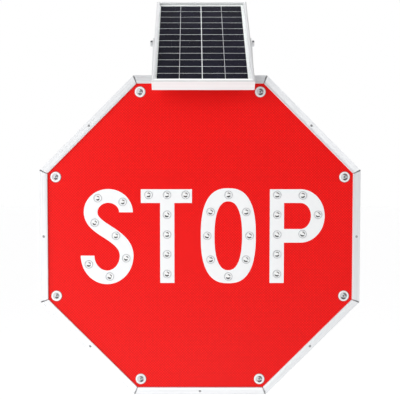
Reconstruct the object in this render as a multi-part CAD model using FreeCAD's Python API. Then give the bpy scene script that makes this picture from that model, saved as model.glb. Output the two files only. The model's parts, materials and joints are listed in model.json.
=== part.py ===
import FreeCAD, Part
import math
import os

# Solar powered flashing stop sign, in millimetres.
# The face looks along -Y and the top is +Z. The origin is the centre of the mounting plane,
# where the rear faces of the two mount rails lie.

V = FreeCAD.Vector
ORIGIN = V(0, 0, 0)
ALONG_X = V(1, 0, 0)
ALONG_Y = V(0, 1, 0)

# Octagonal housing
ACROSS_FLATS = 604.6
HOUSING_DEPTH = 40.0
FACE_THICKNESS = 2.0
SHEETING_THICKNESS = 0.4
BACK_THICKNESS = 1.5
EDGE_CLEARANCE = 0.3

# Section of the frame extrusion: a lip round the face, a ribbed bevel and a rear flange
BAND_WIDTH = 16.0
LIP_WIDTH = 3.8
LIP_THICKNESS = 3.0
LIP_CHAMFER = 0.5
BEVEL_DEPTH = 7.5
BEVEL_LINES = 3
LINE_WIDTH = 0.8
LINE_DEPTH = 0.4
FRAME_WALL = 1.8
FACE_SEAT = 11.3
LEDGE_BEHIND_BEVEL = 1.0
FLANGE_WIDTH = 14.0
FLANGE_THICKNESS = 2.0
MITRE_GAP = 0.9

# Corner keys in their channel against the outer wall
KEY_CHANNEL_START = 12.5
KEY_CHANNEL_WIDTH = 20.0
KEY_THICKNESS = 3.0
KEY_NUT_CLEARANCE = 3.0
KEY_CLEARANCE = 0.1
CHANNEL_RIB_WIDTH = 1.5
CHANNEL_RIB_HEIGHT = 3.2

# Clips that hold the face against the lip, each with a screw from the front
CLIP_LENGTH = 24.0
CLIP_THICKNESS = 2.0
CLIP_REACH = 7.0
CLIP_HEEL_GAP = 1.0
CLIP_SCREW_RADIUS = 1.5
CLIP_SCREW_HEAD_RADIUS = 2.4
CLIP_SCREW_HEAD_HEIGHT = 1.8
CLIP_SCREW_SEAT = 4.0
CLIP_SCREW_END = 2.5
HOLE_CLEARANCE = 0.1

# Screws of the rear plate, two on each side of the octagon
BACK_SCREW_RADIUS = 2.0
BACK_SCREW_HEAD_RADIUS = 3.8
BACK_SCREW_HEAD_HEIGHT = 2.4
BACK_SCREW_LENGTH = 9.0
BACK_SCREW_INSET = 8.0
BACK_SCREW_OFFSET = 80.0
SCREW_HEAD_TAPER = 0.75

# Slotted mount rails across the back
MOUNT_RAIL_DEPTH = 12.0
MOUNT_RAIL_LENGTH = 400.0
MOUNT_RAIL_SPACING = 300.0
MOUNT_RAIL_WIDTH = 30.0
MOUNT_RAIL_WALL = 2.5
MOUNT_FLANGE_WIDTH = 11.0
MOUNT_FLANGE_THICKNESS = 2.0
SLOT_NECK = 9.0
RIVET_RADIUS = 2.0
RIVET_HEAD_RADIUS = 3.8
RIVET_HEAD_HEIGHT = 1.4
RIVET_HEAD_TAPER = 0.6
RIVET_TAIL_RADIUS = 2.8
RIVET_TAIL_LENGTH = 3.0
RIVET_OFFSET = 170.0

# Legend: the lenses follow the middle line of each block letter. S and T stand this far to the left
# of the sign's middle, O and P to the right.
LETTER_HEIGHT = 181.0
STROKE = 27.0
LEGEND_RISE = 1.5
STEM_PITCH = 37.3
S_DISTANCE = 175.5
S_SPINE_HALF_WIDTH = 36.9
T_DISTANCE = 62.3
T_BAR_PITCH = 34.8
O_DISTANCE = 53.0
O_SPINE_HALF_WIDTH = 39.8
O_ROUNDNESS = 2.16
O_SHOULDER = 34.0
P_STEM_DISTANCE = 144.7
P_BOWL_DISTANCE = 184.2
P_BOWL_SHOULDER = 77.0
# Middle line of the S from its upper end to its lower end, as shares of the spine's half sizes
S_SPINE = (
    (0.81, 0.83), (-0.46, 0.92), (-0.62, 0.32), (0.46, 0.0),
    (0.98, -0.55), (0.14, -1.0), (-0.93, -0.70),
)

# Clear lenses of the letters: a thin flange on the sheeting, a dome and a barrel
LENS_FLANGE_RADIUS = 7.8
LENS_FLANGE_THICKNESS = 1.0
LENS_DOME_RADIUS = 4.9
LENS_DOME_HEIGHT = 4.3
LENS_BARREL_RADIUS = 4.6

# Larger clear lenses at the eight corners, each in a white bezel
BORDER_INSET = 15.5
BORDER_LENS_RADIUS = 6.7
BORDER_DOME_HEIGHT = 4.6
BORDER_FLANGE_RADIUS = 9.0
BORDER_FLANGE_THICKNESS = 1.2
BEZEL_RADIUS = 10.3
BEZEL_HEIGHT = 1.5
BEZEL_CHAMFER = 0.6

# Light boards behind the lenses
BOARD_GAP = 3.6
BOARD_THICKNESS = 1.6
BOARD_MARGIN = 12.0
BORDER_BOARD_SIZE = 22.0
LED_WIDTH = 3.4
LED_HEIGHT = 1.9
LED_CLEARANCE = 0.1
STANDOFF_FLATS = 5.0
STANDOFF_INSET = 4.0

# Battery pack, its strap and the charge controller on the rear plate
BATTERY_LENGTH = 138.0
BATTERY_WIDTH = 57.0
BATTERY_THICKNESS = 19.0
BATTERY_ROUND = 7.6
BATTERY_X = -60.0
BATTERY_Z = -70.0
STRAP_WIDTH = 18.0
STRAP_THICKNESS = 1.2
STRAP_FOOT = 14.0
STRAP_SCREW_RADIUS = 2.0
STRAP_SCREW_HEAD_RADIUS = 3.6
STRAP_SCREW_HEAD_HEIGHT = 2.2
CONTROLLER_LENGTH = 84.0
CONTROLLER_WIDTH = 52.0
CONTROLLER_X = 70.0
CONTROLLER_Z = 40.0
CONTROLLER_STANDOFF = 6.0
COIL_SIZE = 13.0
COIL_HEIGHT = 7.0
COIL_ROUND = 3.9
CAPACITOR_RADIUS = 4.0
CAPACITOR_HEIGHT = 11.0
TERMINAL_LENGTH = 40.0
TERMINAL_WIDTH = 9.0
TERMINAL_HEIGHT = 10.0

# Solar panel, set off the sign's middle by an offset to the right
PANEL_OFFSET = 5.0
PANEL_WIDTH = 186.0
PANEL_LENGTH = 274.0
PANEL_THICKNESS = 20.0
PANEL_TILT = 45.0
PANEL_LIP = 6.5
PANEL_WALL = 1.5
PANEL_ARRIS_WIDTH = 2.6
PANEL_ARRIS_DEPTH = 1.4
PANEL_FLANGE = 11.0
PANEL_MITRE_GAP = 0.2
PANEL_KEY_LEG = 18.0
PANEL_KEY_HEIGHT = 9.0
PANEL_KEY_THICKNESS = 2.0
GLASS_THICKNESS = 3.2
CELL_THICKNESS = 0.3
RIBBON_WIDTH = 1.1
RIBBON_THICKNESS = 0.15
BACKSHEET_THICKNESS = 0.35
LAYER_GAP = 0.05
CELL_ROWS = 12
CELL_GAP = 1.4
STRING_GAP = 1.6
CELLS_LEFT_MARGIN = 8.8
CELLS_RIGHT_MARGIN = 12.0
CELLS_TOP_MARGIN = 14.7
CELLS_BOTTOM_MARGIN = 7.2
JUNCTION_LENGTH = 64.0
JUNCTION_WIDTH = 48.0
JUNCTION_DEPTH = 11.0
JUNCTION_LID = 1.6
JUNCTION_CORNER = 4.0
JUNCTION_WALL = 2.0
JUNCTION_RISE = 70.0

# Tilt pivot at the middle of the panel's sides, carried by two angle brackets on the top rail
PIVOT_BACK = 8.5
PIVOT_RISE = 69.7
PIVOT_PANEL_DEPTH = 12.5
ARM_THICKNESS = 2.0
ARM_RADIUS = 11.0
ARM_GAP = 0.8
SPACER_THICKNESS = 0.5
SPACER_RADIUS = 6.5
FOOT_LENGTH = 28.0
FOOT_FRONT = 9.0
FOOT_DEPTH = 28.0
BEND_RADIUS = 2.0
PIVOT_RADIUS = 3.0
PIVOT_CLEARANCE = 0.1
PIVOT_HEAD_FLATS = 10.0
PIVOT_HEAD_HEIGHT = 4.0
PIVOT_WASHER_RADIUS = 6.0
PIVOT_WASHER_THICKNESS = 1.0
PIVOT_SIDE_PLAY = 0.3
PIVOT_NUT_HEIGHT = 5.0
PIVOT_BOLT_END = 1.5
FOOT_SCREW_RADIUS = 2.5
FOOT_SCREW_HEAD_RADIUS = 4.6
FOOT_SCREW_HEAD_HEIGHT = 2.8
FOOT_SCREW_INSET = 14.0
FOOT_SCREW_PITCH = 11.0
FOOT_NUT_FLATS = 8.0
FOOT_NUT_HEIGHT = 4.0
FOOT_SCREW_END = 1.5

# Cable glands: one in the top rail and one on the junction box
GLAND_RADIUS = 6.0
GLAND_FLATS = 16.0
GLAND_HEX_HEIGHT = 4.0
GLAND_DOME_RADIUS = 6.6
GLAND_DOME_HEIGHT = 8.0
GLAND_BORE = 2.6
GLAND_NUT_HEIGHT = 3.0
GLAND_DOME_TAPER = 0.7
GLAND_THREAD_END = 1.0
GLAND_SHIFT = 1.0
PANEL_GLAND_RADIUS = 3.6
PANEL_GLAND_LENGTH = 9.0
PANEL_GLAND_TAPER = 0.8
PANEL_GLAND_BORE = 1.8

# Worked out from the sizes above
SIDES = 8
TURN = 360.0 / SIDES
HALF_TURN = math.radians(TURN / 2)
QUARTER = 90.0
OVERCUT = 1.0
APOTHEM = ACROSS_FLATS / 2
SIDE_LENGTH = 2 * APOTHEM * math.tan(HALF_TURN)
Y_FRONT = -MOUNT_RAIL_DEPTH - HOUSING_DEPTH
FACE_FRONT = LIP_THICKNESS
PLATE_FRONT = FACE_FRONT + SHEETING_THICKNESS
PLATE_REAR = PLATE_FRONT + FACE_THICKNESS
LEDGE_REAR = BEVEL_DEPTH + LEDGE_BEHIND_BEVEL
BACK_FRONT = HOUSING_DEPTH - BACK_THICKNESS
SPINE_HALF_HEIGHT = (LETTER_HEIGHT - STROKE) / 2
BOARD_FRONT = PLATE_REAR + BOARD_GAP
LENS_END = BOARD_FRONT - LED_HEIGHT - LED_CLEARANCE
CLIP_SCREW_INSET = BAND_WIDTH / 2
PIVOT = V(PANEL_OFFSET, PIVOT_BACK, APOTHEM + PIVOT_RISE)
ARM_INNER = PANEL_WIDTH / 2 + ARM_GAP
ARM_OUTER = ARM_INNER + ARM_THICKNESS
FOOT_SCREW_X = ARM_OUTER - FOOT_SCREW_INSET
FOOT_NUT_REACH = FOOT_SCREW_X + PANEL_OFFSET + FOOT_NUT_FLATS / math.sqrt(3)
KEY_HALF_WIDTH = (SIDE_LENGTH / 2 - FOOT_NUT_REACH - KEY_NUT_CLEARANCE) * math.cos(HALF_TURN)
SIDE_NAMES = (
    "bottom", "lower_left", "left", "upper_left",
    "top", "upper_right", "right", "lower_right",
)


# Basic shapes

def at_depth(depth):
    """Y of a point that lies this far behind the front lip."""
    return Y_FRONT + depth


def block(x, y, z):
    """Box between two limits along each axis."""
    return Part.makeBox(x[1] - x[0], y[1] - y[0], z[1] - z[0], V(x[0], y[0], z[0]))


def rod(radius, start, direction, length):
    """Round bar."""
    return Part.makeCylinder(radius, length, start, direction)


def prism(points, direction):
    """Straight extrusion of a closed outline."""
    return Part.Face(Part.makePolygon(points + [points[0]])).extrude(direction)


def hexagon(flats, start, direction, length):
    """Hexagonal bar along an axis, with two flats square to Z on a bar along Y, and to Y on any other."""
    radius = flats / math.sqrt(3)
    points = [
        V(radius * math.cos(math.radians(60 * k)), radius * math.sin(math.radians(60 * k)), 0)
        for k in range(6)
    ]
    bar = prism(points, V(0, 0, length))
    bar.Placement = FreeCAD.Placement(start, FreeCAD.Rotation(V(0, 0, 1), direction))
    return bar


def octagon(apothem, depth_from, depth_to):
    """Upright regular octagon plate with flats at top, bottom and sides."""
    radius = apothem / math.cos(HALF_TURN)
    points = []
    for k in range(SIDES):
        angle = HALF_TURN * (2 * k + 1)
        points.append(V(radius * math.cos(angle), at_depth(depth_from), radius * math.sin(angle)))
    return prism(points, V(0, depth_to - depth_from, 0))


def turned(shape, angle):
    """Copy turned about the sign's own axis."""
    copy = shape.copy()
    copy.rotate(ORIGIN, ALONG_Y, angle)
    return copy


def moved(shape, x, y, z):
    """Copy moved to a place."""
    copy = shape.copy()
    copy.translate(V(x, y, z))
    return copy


def around(shape, first=0.0):
    """One copy for each side or corner of the octagon."""
    return [turned(shape, first + TURN * k) for k in range(SIDES)]


def group(solids):
    """Separate solids kept together."""
    return Part.makeCompound(solids)


def mirrored(shape):
    """The same shape on the other side of the sign."""
    return shape.mirror(ORIGIN, ALONG_X)


# Frame of the housing

def bevel_lines():
    """Fine grooves along the bevel, from the lip outwards."""
    lip_edge = BAND_WIDTH - LIP_WIDTH
    slope = math.hypot(lip_edge, BEVEL_DEPTH)
    along = (-lip_edge / slope, BEVEL_DEPTH / slope)
    inwards = (BEVEL_DEPTH / slope, lip_edge / slope)
    points = []
    for k in range(BEVEL_LINES):
        middle = slope * (k + 0.5) / BEVEL_LINES
        for step, sink in ((-LINE_WIDTH / 2, 0.0), (0.0, LINE_DEPTH), (LINE_WIDTH / 2, 0.0)):
            reach = middle + step
            points.append((
                lip_edge + along[0] * reach + inwards[0] * sink,
                along[1] * reach + inwards[1] * sink,
            ))
    return points


def channel_rib(start):
    """Rib of the key channel on the outer wall."""
    top = FRAME_WALL + CHANNEL_RIB_HEIGHT
    end = start - CHANNEL_RIB_WIDTH
    return [(FRAME_WALL, start), (top, start), (top, end), (FRAME_WALL, end)]


def frame_section():
    """Outline of the extrusion as inset from the outer wall and depth behind the lip."""
    flange_front = BACK_FRONT - FLANGE_THICKNESS
    rear_rib = KEY_CHANNEL_START + KEY_CHANNEL_WIDTH + CHANNEL_RIB_WIDTH
    return (
        [(BAND_WIDTH, LIP_THICKNESS), (BAND_WIDTH, LIP_CHAMFER), (BAND_WIDTH - LIP_CHAMFER, 0)]
        + [(BAND_WIDTH - LIP_WIDTH, 0)] + bevel_lines()
        + [(0, BEVEL_DEPTH), (0, HOUSING_DEPTH), (FRAME_WALL, HOUSING_DEPTH)]
        + [(FRAME_WALL, BACK_FRONT), (FLANGE_WIDTH, BACK_FRONT), (FLANGE_WIDTH, flange_front)]
        + [(FRAME_WALL, flange_front)] + channel_rib(rear_rib) + channel_rib(KEY_CHANNEL_START)
        + [(FRAME_WALL, LEDGE_REAR), (FACE_SEAT, LEDGE_REAR), (FACE_SEAT, LIP_THICKNESS)]
    )


def mitre_wedge():
    """Space of one side of the octagon, short of its neighbours by half the joint."""
    tip = MITRE_GAP / 2 / math.sin(HALF_TURN)
    far = APOTHEM + BAND_WIDTH
    half = (far - tip) * math.tan(HALF_TURN)
    y = Y_FRONT - BAND_WIDTH
    points = [V(0, y, -tip), V(-half, y, -far), V(half, y, -far)]
    return prism(points, V(0, HOUSING_DEPTH + 2 * BAND_WIDTH, 0))


def clip_screw_tool(radius, depth_from, depth_to):
    """Round space or bar on the axis of the bottom rail's clip screw."""
    start = V(0, at_depth(depth_from), -APOTHEM + CLIP_SCREW_INSET)
    return rod(radius, start, ALONG_Y, depth_to - depth_from)


def back_screw_places():
    """Middles of the two rear screws of the bottom rail, in the XZ plane."""
    z = -APOTHEM + BACK_SCREW_INSET
    return [(-BACK_SCREW_OFFSET, z), (BACK_SCREW_OFFSET, z)]


def back_screw_tools(radius, depth_from, depth_to):
    """Round spaces or bars on the axes of the bottom rail's rear screws."""
    return [
        rod(radius, V(x, at_depth(depth_from), z), ALONG_Y, depth_to - depth_from)
        for x, z in back_screw_places()
    ]


def frame_rail():
    """Bottom rail with its mitred ends, clip screw seat and rear screw holes."""
    start = -SIDE_LENGTH / 2
    points = [V(start, at_depth(depth), -APOTHEM + inset) for inset, depth in frame_section()]
    rail = prism(points, V(SIDE_LENGTH, 0, 0)).common(mitre_wedge())
    rail = rail.cut(clip_screw_tool(CLIP_SCREW_HEAD_RADIUS + HOLE_CLEARANCE, -OVERCUT, CLIP_SCREW_SEAT))
    rail = rail.cut(clip_screw_tool(CLIP_SCREW_RADIUS + HOLE_CLEARANCE, 0.0, LEDGE_REAR + OVERCUT))
    hole = BACK_SCREW_RADIUS + HOLE_CLEARANCE
    for tool in back_screw_tools(hole, BACK_FRONT - FLANGE_THICKNESS - OVERCUT, HOUSING_DEPTH):
        rail = rail.cut(tool)
    return rail


def top_rail_holes():
    """Holes in the outer wall of the top rail for the brackets' screws and the gland."""
    tools = []
    for x, y in foot_screw_places():
        start = V(PANEL_OFFSET + x, y, APOTHEM - FRAME_WALL - OVERCUT)
        tools.append(rod(FOOT_SCREW_RADIUS + HOLE_CLEARANCE, start, V(0, 0, 1), FRAME_WALL + 2 * OVERCUT))
    gland_y = at_depth(gland_depth())
    tools.append(rod(GLAND_RADIUS + HOLE_CLEARANCE, V(0, gland_y, APOTHEM - FRAME_WALL - OVERCUT),
                     V(0, 0, 1), FRAME_WALL + 2 * OVERCUT))
    return tools


def gland_depth():
    """Just behind the middle of the key channel, measured from the front lip."""
    return KEY_CHANNEL_START + KEY_CHANNEL_WIDTH / 2 + GLAND_SHIFT


def corner_key():
    """Bent key that joins the bottom pair of rails, drawn with its corner straight down."""
    outer = APOTHEM - FRAME_WALL - KEY_CLEARANCE
    start = KEY_CHANNEL_START + KEY_CLEARANCE
    end = KEY_CHANNEL_START + KEY_CHANNEL_WIDTH - KEY_CLEARANCE
    ring = octagon(outer, start, end).cut(octagon(outer - KEY_THICKNESS, start - OVERCUT, end + OVERCUT))
    ring = turned(ring, TURN / 2)
    reach = block(
        (-KEY_HALF_WIDTH, KEY_HALF_WIDTH),
        (at_depth(start), at_depth(end)),
        (-APOTHEM / math.cos(HALF_TURN), -APOTHEM / 2),
    )
    return ring.common(reach)


def face_clip():
    """Stepped clip behind the bottom edge of the face, on the ledge of the rail."""
    toe = FACE_SEAT + EDGE_CLEARANCE
    heel = FRAME_WALL + CLIP_HEEL_GAP
    rear = LEDGE_REAR + CLIP_THICKNESS
    outline = [
        (heel, LEDGE_REAR), (toe, LEDGE_REAR), (toe, PLATE_REAR), (toe + CLIP_REACH, PLATE_REAR),
        (toe + CLIP_REACH, rear), (heel, rear),
    ]
    points = [V(-CLIP_LENGTH / 2, at_depth(d), -APOTHEM + inset) for inset, d in outline]
    clip = prism(points, V(CLIP_LENGTH, 0, 0))
    return clip.cut(clip_screw_tool(CLIP_SCREW_RADIUS + HOLE_CLEARANCE, LEDGE_REAR - OVERCUT, rear + OVERCUT))


def clip_screw():
    """Small cheese head screw from the bevel into a clip."""
    head_top = CLIP_SCREW_SEAT - CLIP_SCREW_HEAD_HEIGHT
    end = LEDGE_REAR + CLIP_THICKNESS + CLIP_SCREW_END
    head = clip_screw_tool(CLIP_SCREW_HEAD_RADIUS, head_top, CLIP_SCREW_SEAT)
    return head.fuse(clip_screw_tool(CLIP_SCREW_RADIUS, CLIP_SCREW_SEAT, end)).removeSplitter()


def back_plate():
    """Rear plate in the rebate of the frame, with its screw and rivet holes."""
    plate = octagon(APOTHEM - FRAME_WALL - EDGE_CLEARANCE, BACK_FRONT, HOUSING_DEPTH)
    tools = []
    hole = BACK_SCREW_RADIUS + HOLE_CLEARANCE
    for tool in back_screw_tools(hole, BACK_FRONT - OVERCUT, HOUSING_DEPTH + OVERCUT):
        tools.extend(around(tool))
    for x, z in rivet_places():
        tools.append(rod(RIVET_RADIUS, V(x, at_depth(BACK_FRONT - OVERCUT), z), ALONG_Y,
                         BACK_THICKNESS + 2 * OVERCUT))
    for x, z in strap_screw_places():
        tools.append(rod(STRAP_SCREW_RADIUS, V(x, at_depth(BACK_FRONT - OVERCUT), z), ALONG_Y,
                         BACK_THICKNESS + 2 * OVERCUT))
    return plate.cut(group(tools))


def back_screws():
    """Pan head screws of the bottom rail."""
    screws = []
    for x, z in back_screw_places():
        rear = at_depth(HOUSING_DEPTH)
        head = Part.makeCone(BACK_SCREW_HEAD_RADIUS, BACK_SCREW_HEAD_RADIUS * SCREW_HEAD_TAPER,
                             BACK_SCREW_HEAD_HEIGHT, V(x, rear, z), ALONG_Y)
        shank = rod(BACK_SCREW_RADIUS, V(x, rear - BACK_SCREW_LENGTH, z), ALONG_Y, BACK_SCREW_LENGTH)
        screws.append(head.fuse(shank).removeSplitter())
    return screws


# Mount rails

def mount_rail(z):
    """Slotted rail on the rear plate at one height."""
    base = -MOUNT_RAIL_DEPTH
    web = base + MOUNT_FLANGE_THICKNESS
    half = MOUNT_RAIL_WIDTH / 2
    cavity = half - MOUNT_RAIL_WALL
    flange = half + MOUNT_FLANGE_WIDTH
    neck = SLOT_NECK / 2
    right = [
        (flange, base), (flange, web), (half, web), (half, 0), (neck, 0),
        (neck, -MOUNT_RAIL_WALL), (cavity, -MOUNT_RAIL_WALL), (cavity, web),
    ]
    left = [(-across, y) for across, y in reversed(right)]
    points = [V(-MOUNT_RAIL_LENGTH / 2, y, z + across) for across, y in right + left]
    rail = prism(points, V(MOUNT_RAIL_LENGTH, 0, 0))
    tools = [
        rod(RIVET_RADIUS, V(x, base - OVERCUT, rivet_z), ALONG_Y, MOUNT_FLANGE_THICKNESS + 2 * OVERCUT)
        for x, rivet_z in rivet_places() if abs(rivet_z - z) < flange
    ]
    return rail.cut(group(tools))


def rivet_places():
    """Rivets along both flanges of both rails, in the XZ plane."""
    offset = MOUNT_RAIL_WIDTH / 2 + MOUNT_FLANGE_WIDTH / 2
    places = []
    for rail_z in (-MOUNT_RAIL_SPACING / 2, MOUNT_RAIL_SPACING / 2):
        for side in (-offset, offset):
            for x in (-RIVET_OFFSET, 0.0, RIVET_OFFSET):
                places.append((x, rail_z + side))
    return places


def rivet(x, z):
    """Blind rivet through a rail flange and the rear plate."""
    seat = -MOUNT_RAIL_DEPTH + MOUNT_FLANGE_THICKNESS
    tail = at_depth(BACK_FRONT)
    head = Part.makeCone(RIVET_HEAD_RADIUS, RIVET_HEAD_RADIUS * RIVET_HEAD_TAPER, RIVET_HEAD_HEIGHT,
                         V(x, seat, z), ALONG_Y)
    shank = rod(RIVET_RADIUS, V(x, tail, z), ALONG_Y, seat - tail)
    bulb = rod(RIVET_TAIL_RADIUS, V(x, tail - RIVET_TAIL_LENGTH, z), ALONG_Y, RIVET_TAIL_LENGTH)
    return head.fuse([shank, bulb]).removeSplitter()


# Legend and lenses

def s_lenses():
    """Along the middle line of the S."""
    return [
        (-S_DISTANCE + across * S_SPINE_HALF_WIDTH, LEGEND_RISE + up * SPINE_HALF_HEIGHT)
        for across, up in S_SPINE
    ]


def stem_lenses(x):
    """Down an upright stem, from the top of its middle line."""
    top = LEGEND_RISE + SPINE_HALF_HEIGHT
    count = int(2 * SPINE_HALF_HEIGHT / STEM_PITCH) + 1
    return [(x, top - STEM_PITCH * k) for k in range(count)]


def t_lenses():
    """Both ends of the bar and down the stem."""
    top = LEGEND_RISE + SPINE_HALF_HEIGHT
    bar = [(-T_DISTANCE - T_BAR_PITCH, top), (-T_DISTANCE + T_BAR_PITCH, top)]
    return bar + stem_lenses(-T_DISTANCE)


def o_lenses():
    """Round the O, at its four middles and its four shoulders."""
    power = 2 / O_ROUNDNESS
    places = []
    for quarter in range(4):
        for shoulder in (0.0, O_SHOULDER if quarter % 2 == 0 else QUARTER - O_SHOULDER):
            angle = math.radians(QUARTER * quarter + shoulder)
            across = math.copysign(abs(math.cos(angle)) ** power, math.cos(angle))
            up = math.copysign(abs(math.sin(angle)) ** power, math.sin(angle))
            places.append((O_DISTANCE + O_SPINE_HALF_WIDTH * across, LEGEND_RISE + SPINE_HALF_HEIGHT * up))
    return places


def p_lenses():
    """Down the stem and round the bowl, whose middle line is a half circle."""
    middle = LEGEND_RISE + SPINE_HALF_HEIGHT - STEM_PITCH
    bowl = []
    for degrees in (P_BOWL_SHOULDER, 0.0, -P_BOWL_SHOULDER):
        angle = math.radians(degrees)
        bowl.append((P_BOWL_DISTANCE + STEM_PITCH * math.cos(angle), middle + STEM_PITCH * math.sin(angle)))
    return stem_lenses(P_STEM_DISTANCE) + bowl


LETTERS = {"s": s_lenses(), "t": t_lenses(), "o": o_lenses(), "p": p_lenses()}
LETTER_PLACES = [place for letter in LETTERS.values() for place in letter]


def border_places():
    """One place in each corner of the face, level from both edges."""
    radius = (APOTHEM - BAND_WIDTH - BORDER_INSET) / math.cos(HALF_TURN)
    places = []
    for k in range(SIDES):
        angle = HALF_TURN * (2 * k + 1)
        places.append((radius * math.cos(angle), radius * math.sin(angle)))
    return places


def lens_holes(depth_from, depth_to):
    """Holes for every lens barrel through one layer of the face."""
    tools = []
    for radius, places in ((LENS_BARREL_RADIUS, LETTER_PLACES), (BORDER_LENS_RADIUS, border_places())):
        for x, z in places:
            tools.append(rod(radius + HOLE_CLEARANCE, V(x, at_depth(depth_from), z), ALONG_Y,
                             depth_to - depth_from))
    return group(tools)


def face_plate():
    """Aluminium face with a hole for each lens."""
    plate = octagon(APOTHEM - FACE_SEAT - EDGE_CLEARANCE, PLATE_FRONT, PLATE_REAR)
    return plate.cut(lens_holes(PLATE_FRONT - OVERCUT, PLATE_REAR + OVERCUT))


def reflective_sheeting():
    """Red sheeting on the front of the face."""
    film = octagon(APOTHEM - FACE_SEAT - EDGE_CLEARANCE, FACE_FRONT, PLATE_FRONT)
    return film.cut(lens_holes(FACE_FRONT - OVERCUT, PLATE_FRONT + OVERCUT))


def revolved(outline, crown):
    """Turned piece about the sign's axis direction, with a domed crown as its first edge."""
    dome = Part.Arc(*crown).toShape()
    wire = Part.Wire([dome] + Part.makePolygon(outline).Edges)
    return Part.Face(wire).revolve(ORIGIN, ALONG_Y, 360)


def dome_arc(radius, height, depth):
    """Three points of a dome's profile, from its crown to its rim."""
    sphere = (radius ** 2 + height ** 2) / (2 * height)
    lean = math.acos((sphere - height) / sphere) / 2
    middle = V(sphere * math.sin(lean), at_depth(depth - height + sphere * (1 - math.cos(lean))), 0)
    return V(0, at_depth(depth - height), 0), middle, V(radius, at_depth(depth), 0)


def letter_lens():
    """Clear lens with a thin front flange, on the sign's axis."""
    front = FACE_FRONT - LENS_FLANGE_THICKNESS
    crown = dome_arc(LENS_DOME_RADIUS, LENS_DOME_HEIGHT, front)
    outline = [
        crown[2],
        V(LENS_FLANGE_RADIUS - LENS_FLANGE_THICKNESS / 2, at_depth(front), 0),
        V(LENS_FLANGE_RADIUS, at_depth(FACE_FRONT), 0),
        V(LENS_BARREL_RADIUS, at_depth(FACE_FRONT), 0),
        V(LENS_BARREL_RADIUS, at_depth(LENS_END), 0),
        V(0, at_depth(LENS_END), 0),
        crown[0],
    ]
    return revolved(outline, crown)


def border_lens():
    """Larger clear lens, held from behind by its flange."""
    front = FACE_FRONT - BEZEL_HEIGHT
    crown = dome_arc(BORDER_LENS_RADIUS, BORDER_DOME_HEIGHT, front)
    outline = [
        crown[2],
        V(BORDER_LENS_RADIUS, at_depth(PLATE_REAR), 0),
        V(BORDER_FLANGE_RADIUS, at_depth(PLATE_REAR), 0),
        V(BORDER_FLANGE_RADIUS, at_depth(PLATE_REAR + BORDER_FLANGE_THICKNESS), 0),
        V(0, at_depth(PLATE_REAR + BORDER_FLANGE_THICKNESS), 0),
        crown[0],
    ]
    return revolved(outline, crown)


def bezel():
    """White ring round a border lens."""
    front = FACE_FRONT - BEZEL_HEIGHT
    inner = BORDER_LENS_RADIUS + HOLE_CLEARANCE
    outline = [
        V(inner, at_depth(front), 0),
        V(BEZEL_RADIUS - BEZEL_CHAMFER, at_depth(front), 0),
        V(BEZEL_RADIUS, at_depth(front + BEZEL_CHAMFER), 0),
        V(BEZEL_RADIUS, at_depth(FACE_FRONT), 0),
        V(inner, at_depth(FACE_FRONT), 0),
    ]
    return Part.Face(Part.makePolygon(outline + [outline[0]])).revolve(ORIGIN, ALONG_Y, 360)


# Light boards

def board_limits(places):
    """Lowest and highest X and Z of the board behind one letter."""
    across = [x for x, z in places]
    up = [z for x, z in places]
    return (
        (min(across) - BOARD_MARGIN, max(across) + BOARD_MARGIN),
        (min(up) - BOARD_MARGIN, max(up) + BOARD_MARGIN),
    )


def led_board(places):
    """Printed board behind one letter."""
    x, z = board_limits(places)
    return block(x, (at_depth(BOARD_FRONT), at_depth(BOARD_FRONT + BOARD_THICKNESS)), z)


def led(x, z):
    """Light source on its board, just behind a lens."""
    half = LED_WIDTH / 2
    return block((x - half, x + half), (at_depth(BOARD_FRONT - LED_HEIGHT), at_depth(BOARD_FRONT)),
                 (z - half, z + half))


def board_standoffs():
    """Hexagonal pillars between the face and the corners of the letters' boards."""
    pillars = []
    for places in LETTERS.values():
        across, up = board_limits(places)
        for x in (across[0] + STANDOFF_INSET, across[1] - STANDOFF_INSET):
            for z in (up[0] + STANDOFF_INSET, up[1] - STANDOFF_INSET):
                pillars.append(hexagon(STANDOFF_FLATS, V(x, at_depth(PLATE_REAR), z), ALONG_Y, BOARD_GAP))
    return pillars


def border_board():
    """Small square board behind the lowest corner place, seated on the lens flange."""
    radius = (APOTHEM - BAND_WIDTH - BORDER_INSET) / math.cos(HALF_TURN)
    half = BORDER_BOARD_SIZE / 2
    front = PLATE_REAR + BORDER_FLANGE_THICKNESS
    return block((-half, half), (at_depth(front + LED_HEIGHT + LED_CLEARANCE),
                                 at_depth(front + LED_HEIGHT + LED_CLEARANCE + BOARD_THICKNESS)),
                 (-radius - half, -radius + half))


def border_led():
    """Light source on the lowest corner's board."""
    radius = (APOTHEM - BAND_WIDTH - BORDER_INSET) / math.cos(HALF_TURN)
    half = LED_WIDTH / 2
    front = PLATE_REAR + BORDER_FLANGE_THICKNESS + LED_CLEARANCE
    return block((-half, half), (at_depth(front), at_depth(front + LED_HEIGHT)),
                 (-radius - half, -radius + half))


def border_board_legs():
    """Two legs that carry the lowest corner's board on the face."""
    radius = (APOTHEM - BAND_WIDTH - BORDER_INSET) / math.cos(HALF_TURN)
    reach = BORDER_BOARD_SIZE / 2 - STANDOFF_FLATS / 2
    length = BORDER_FLANGE_THICKNESS + LED_HEIGHT + LED_CLEARANCE
    half = STANDOFF_FLATS / 4
    y = (at_depth(PLATE_REAR), at_depth(PLATE_REAR + length))
    legs = []
    for x in (-reach, reach):
        for z in (-radius - reach, -radius + reach):
            legs.append(block((x - half, x + half), y, (z - half, z + half)))
    return legs


# Battery and controller

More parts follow.
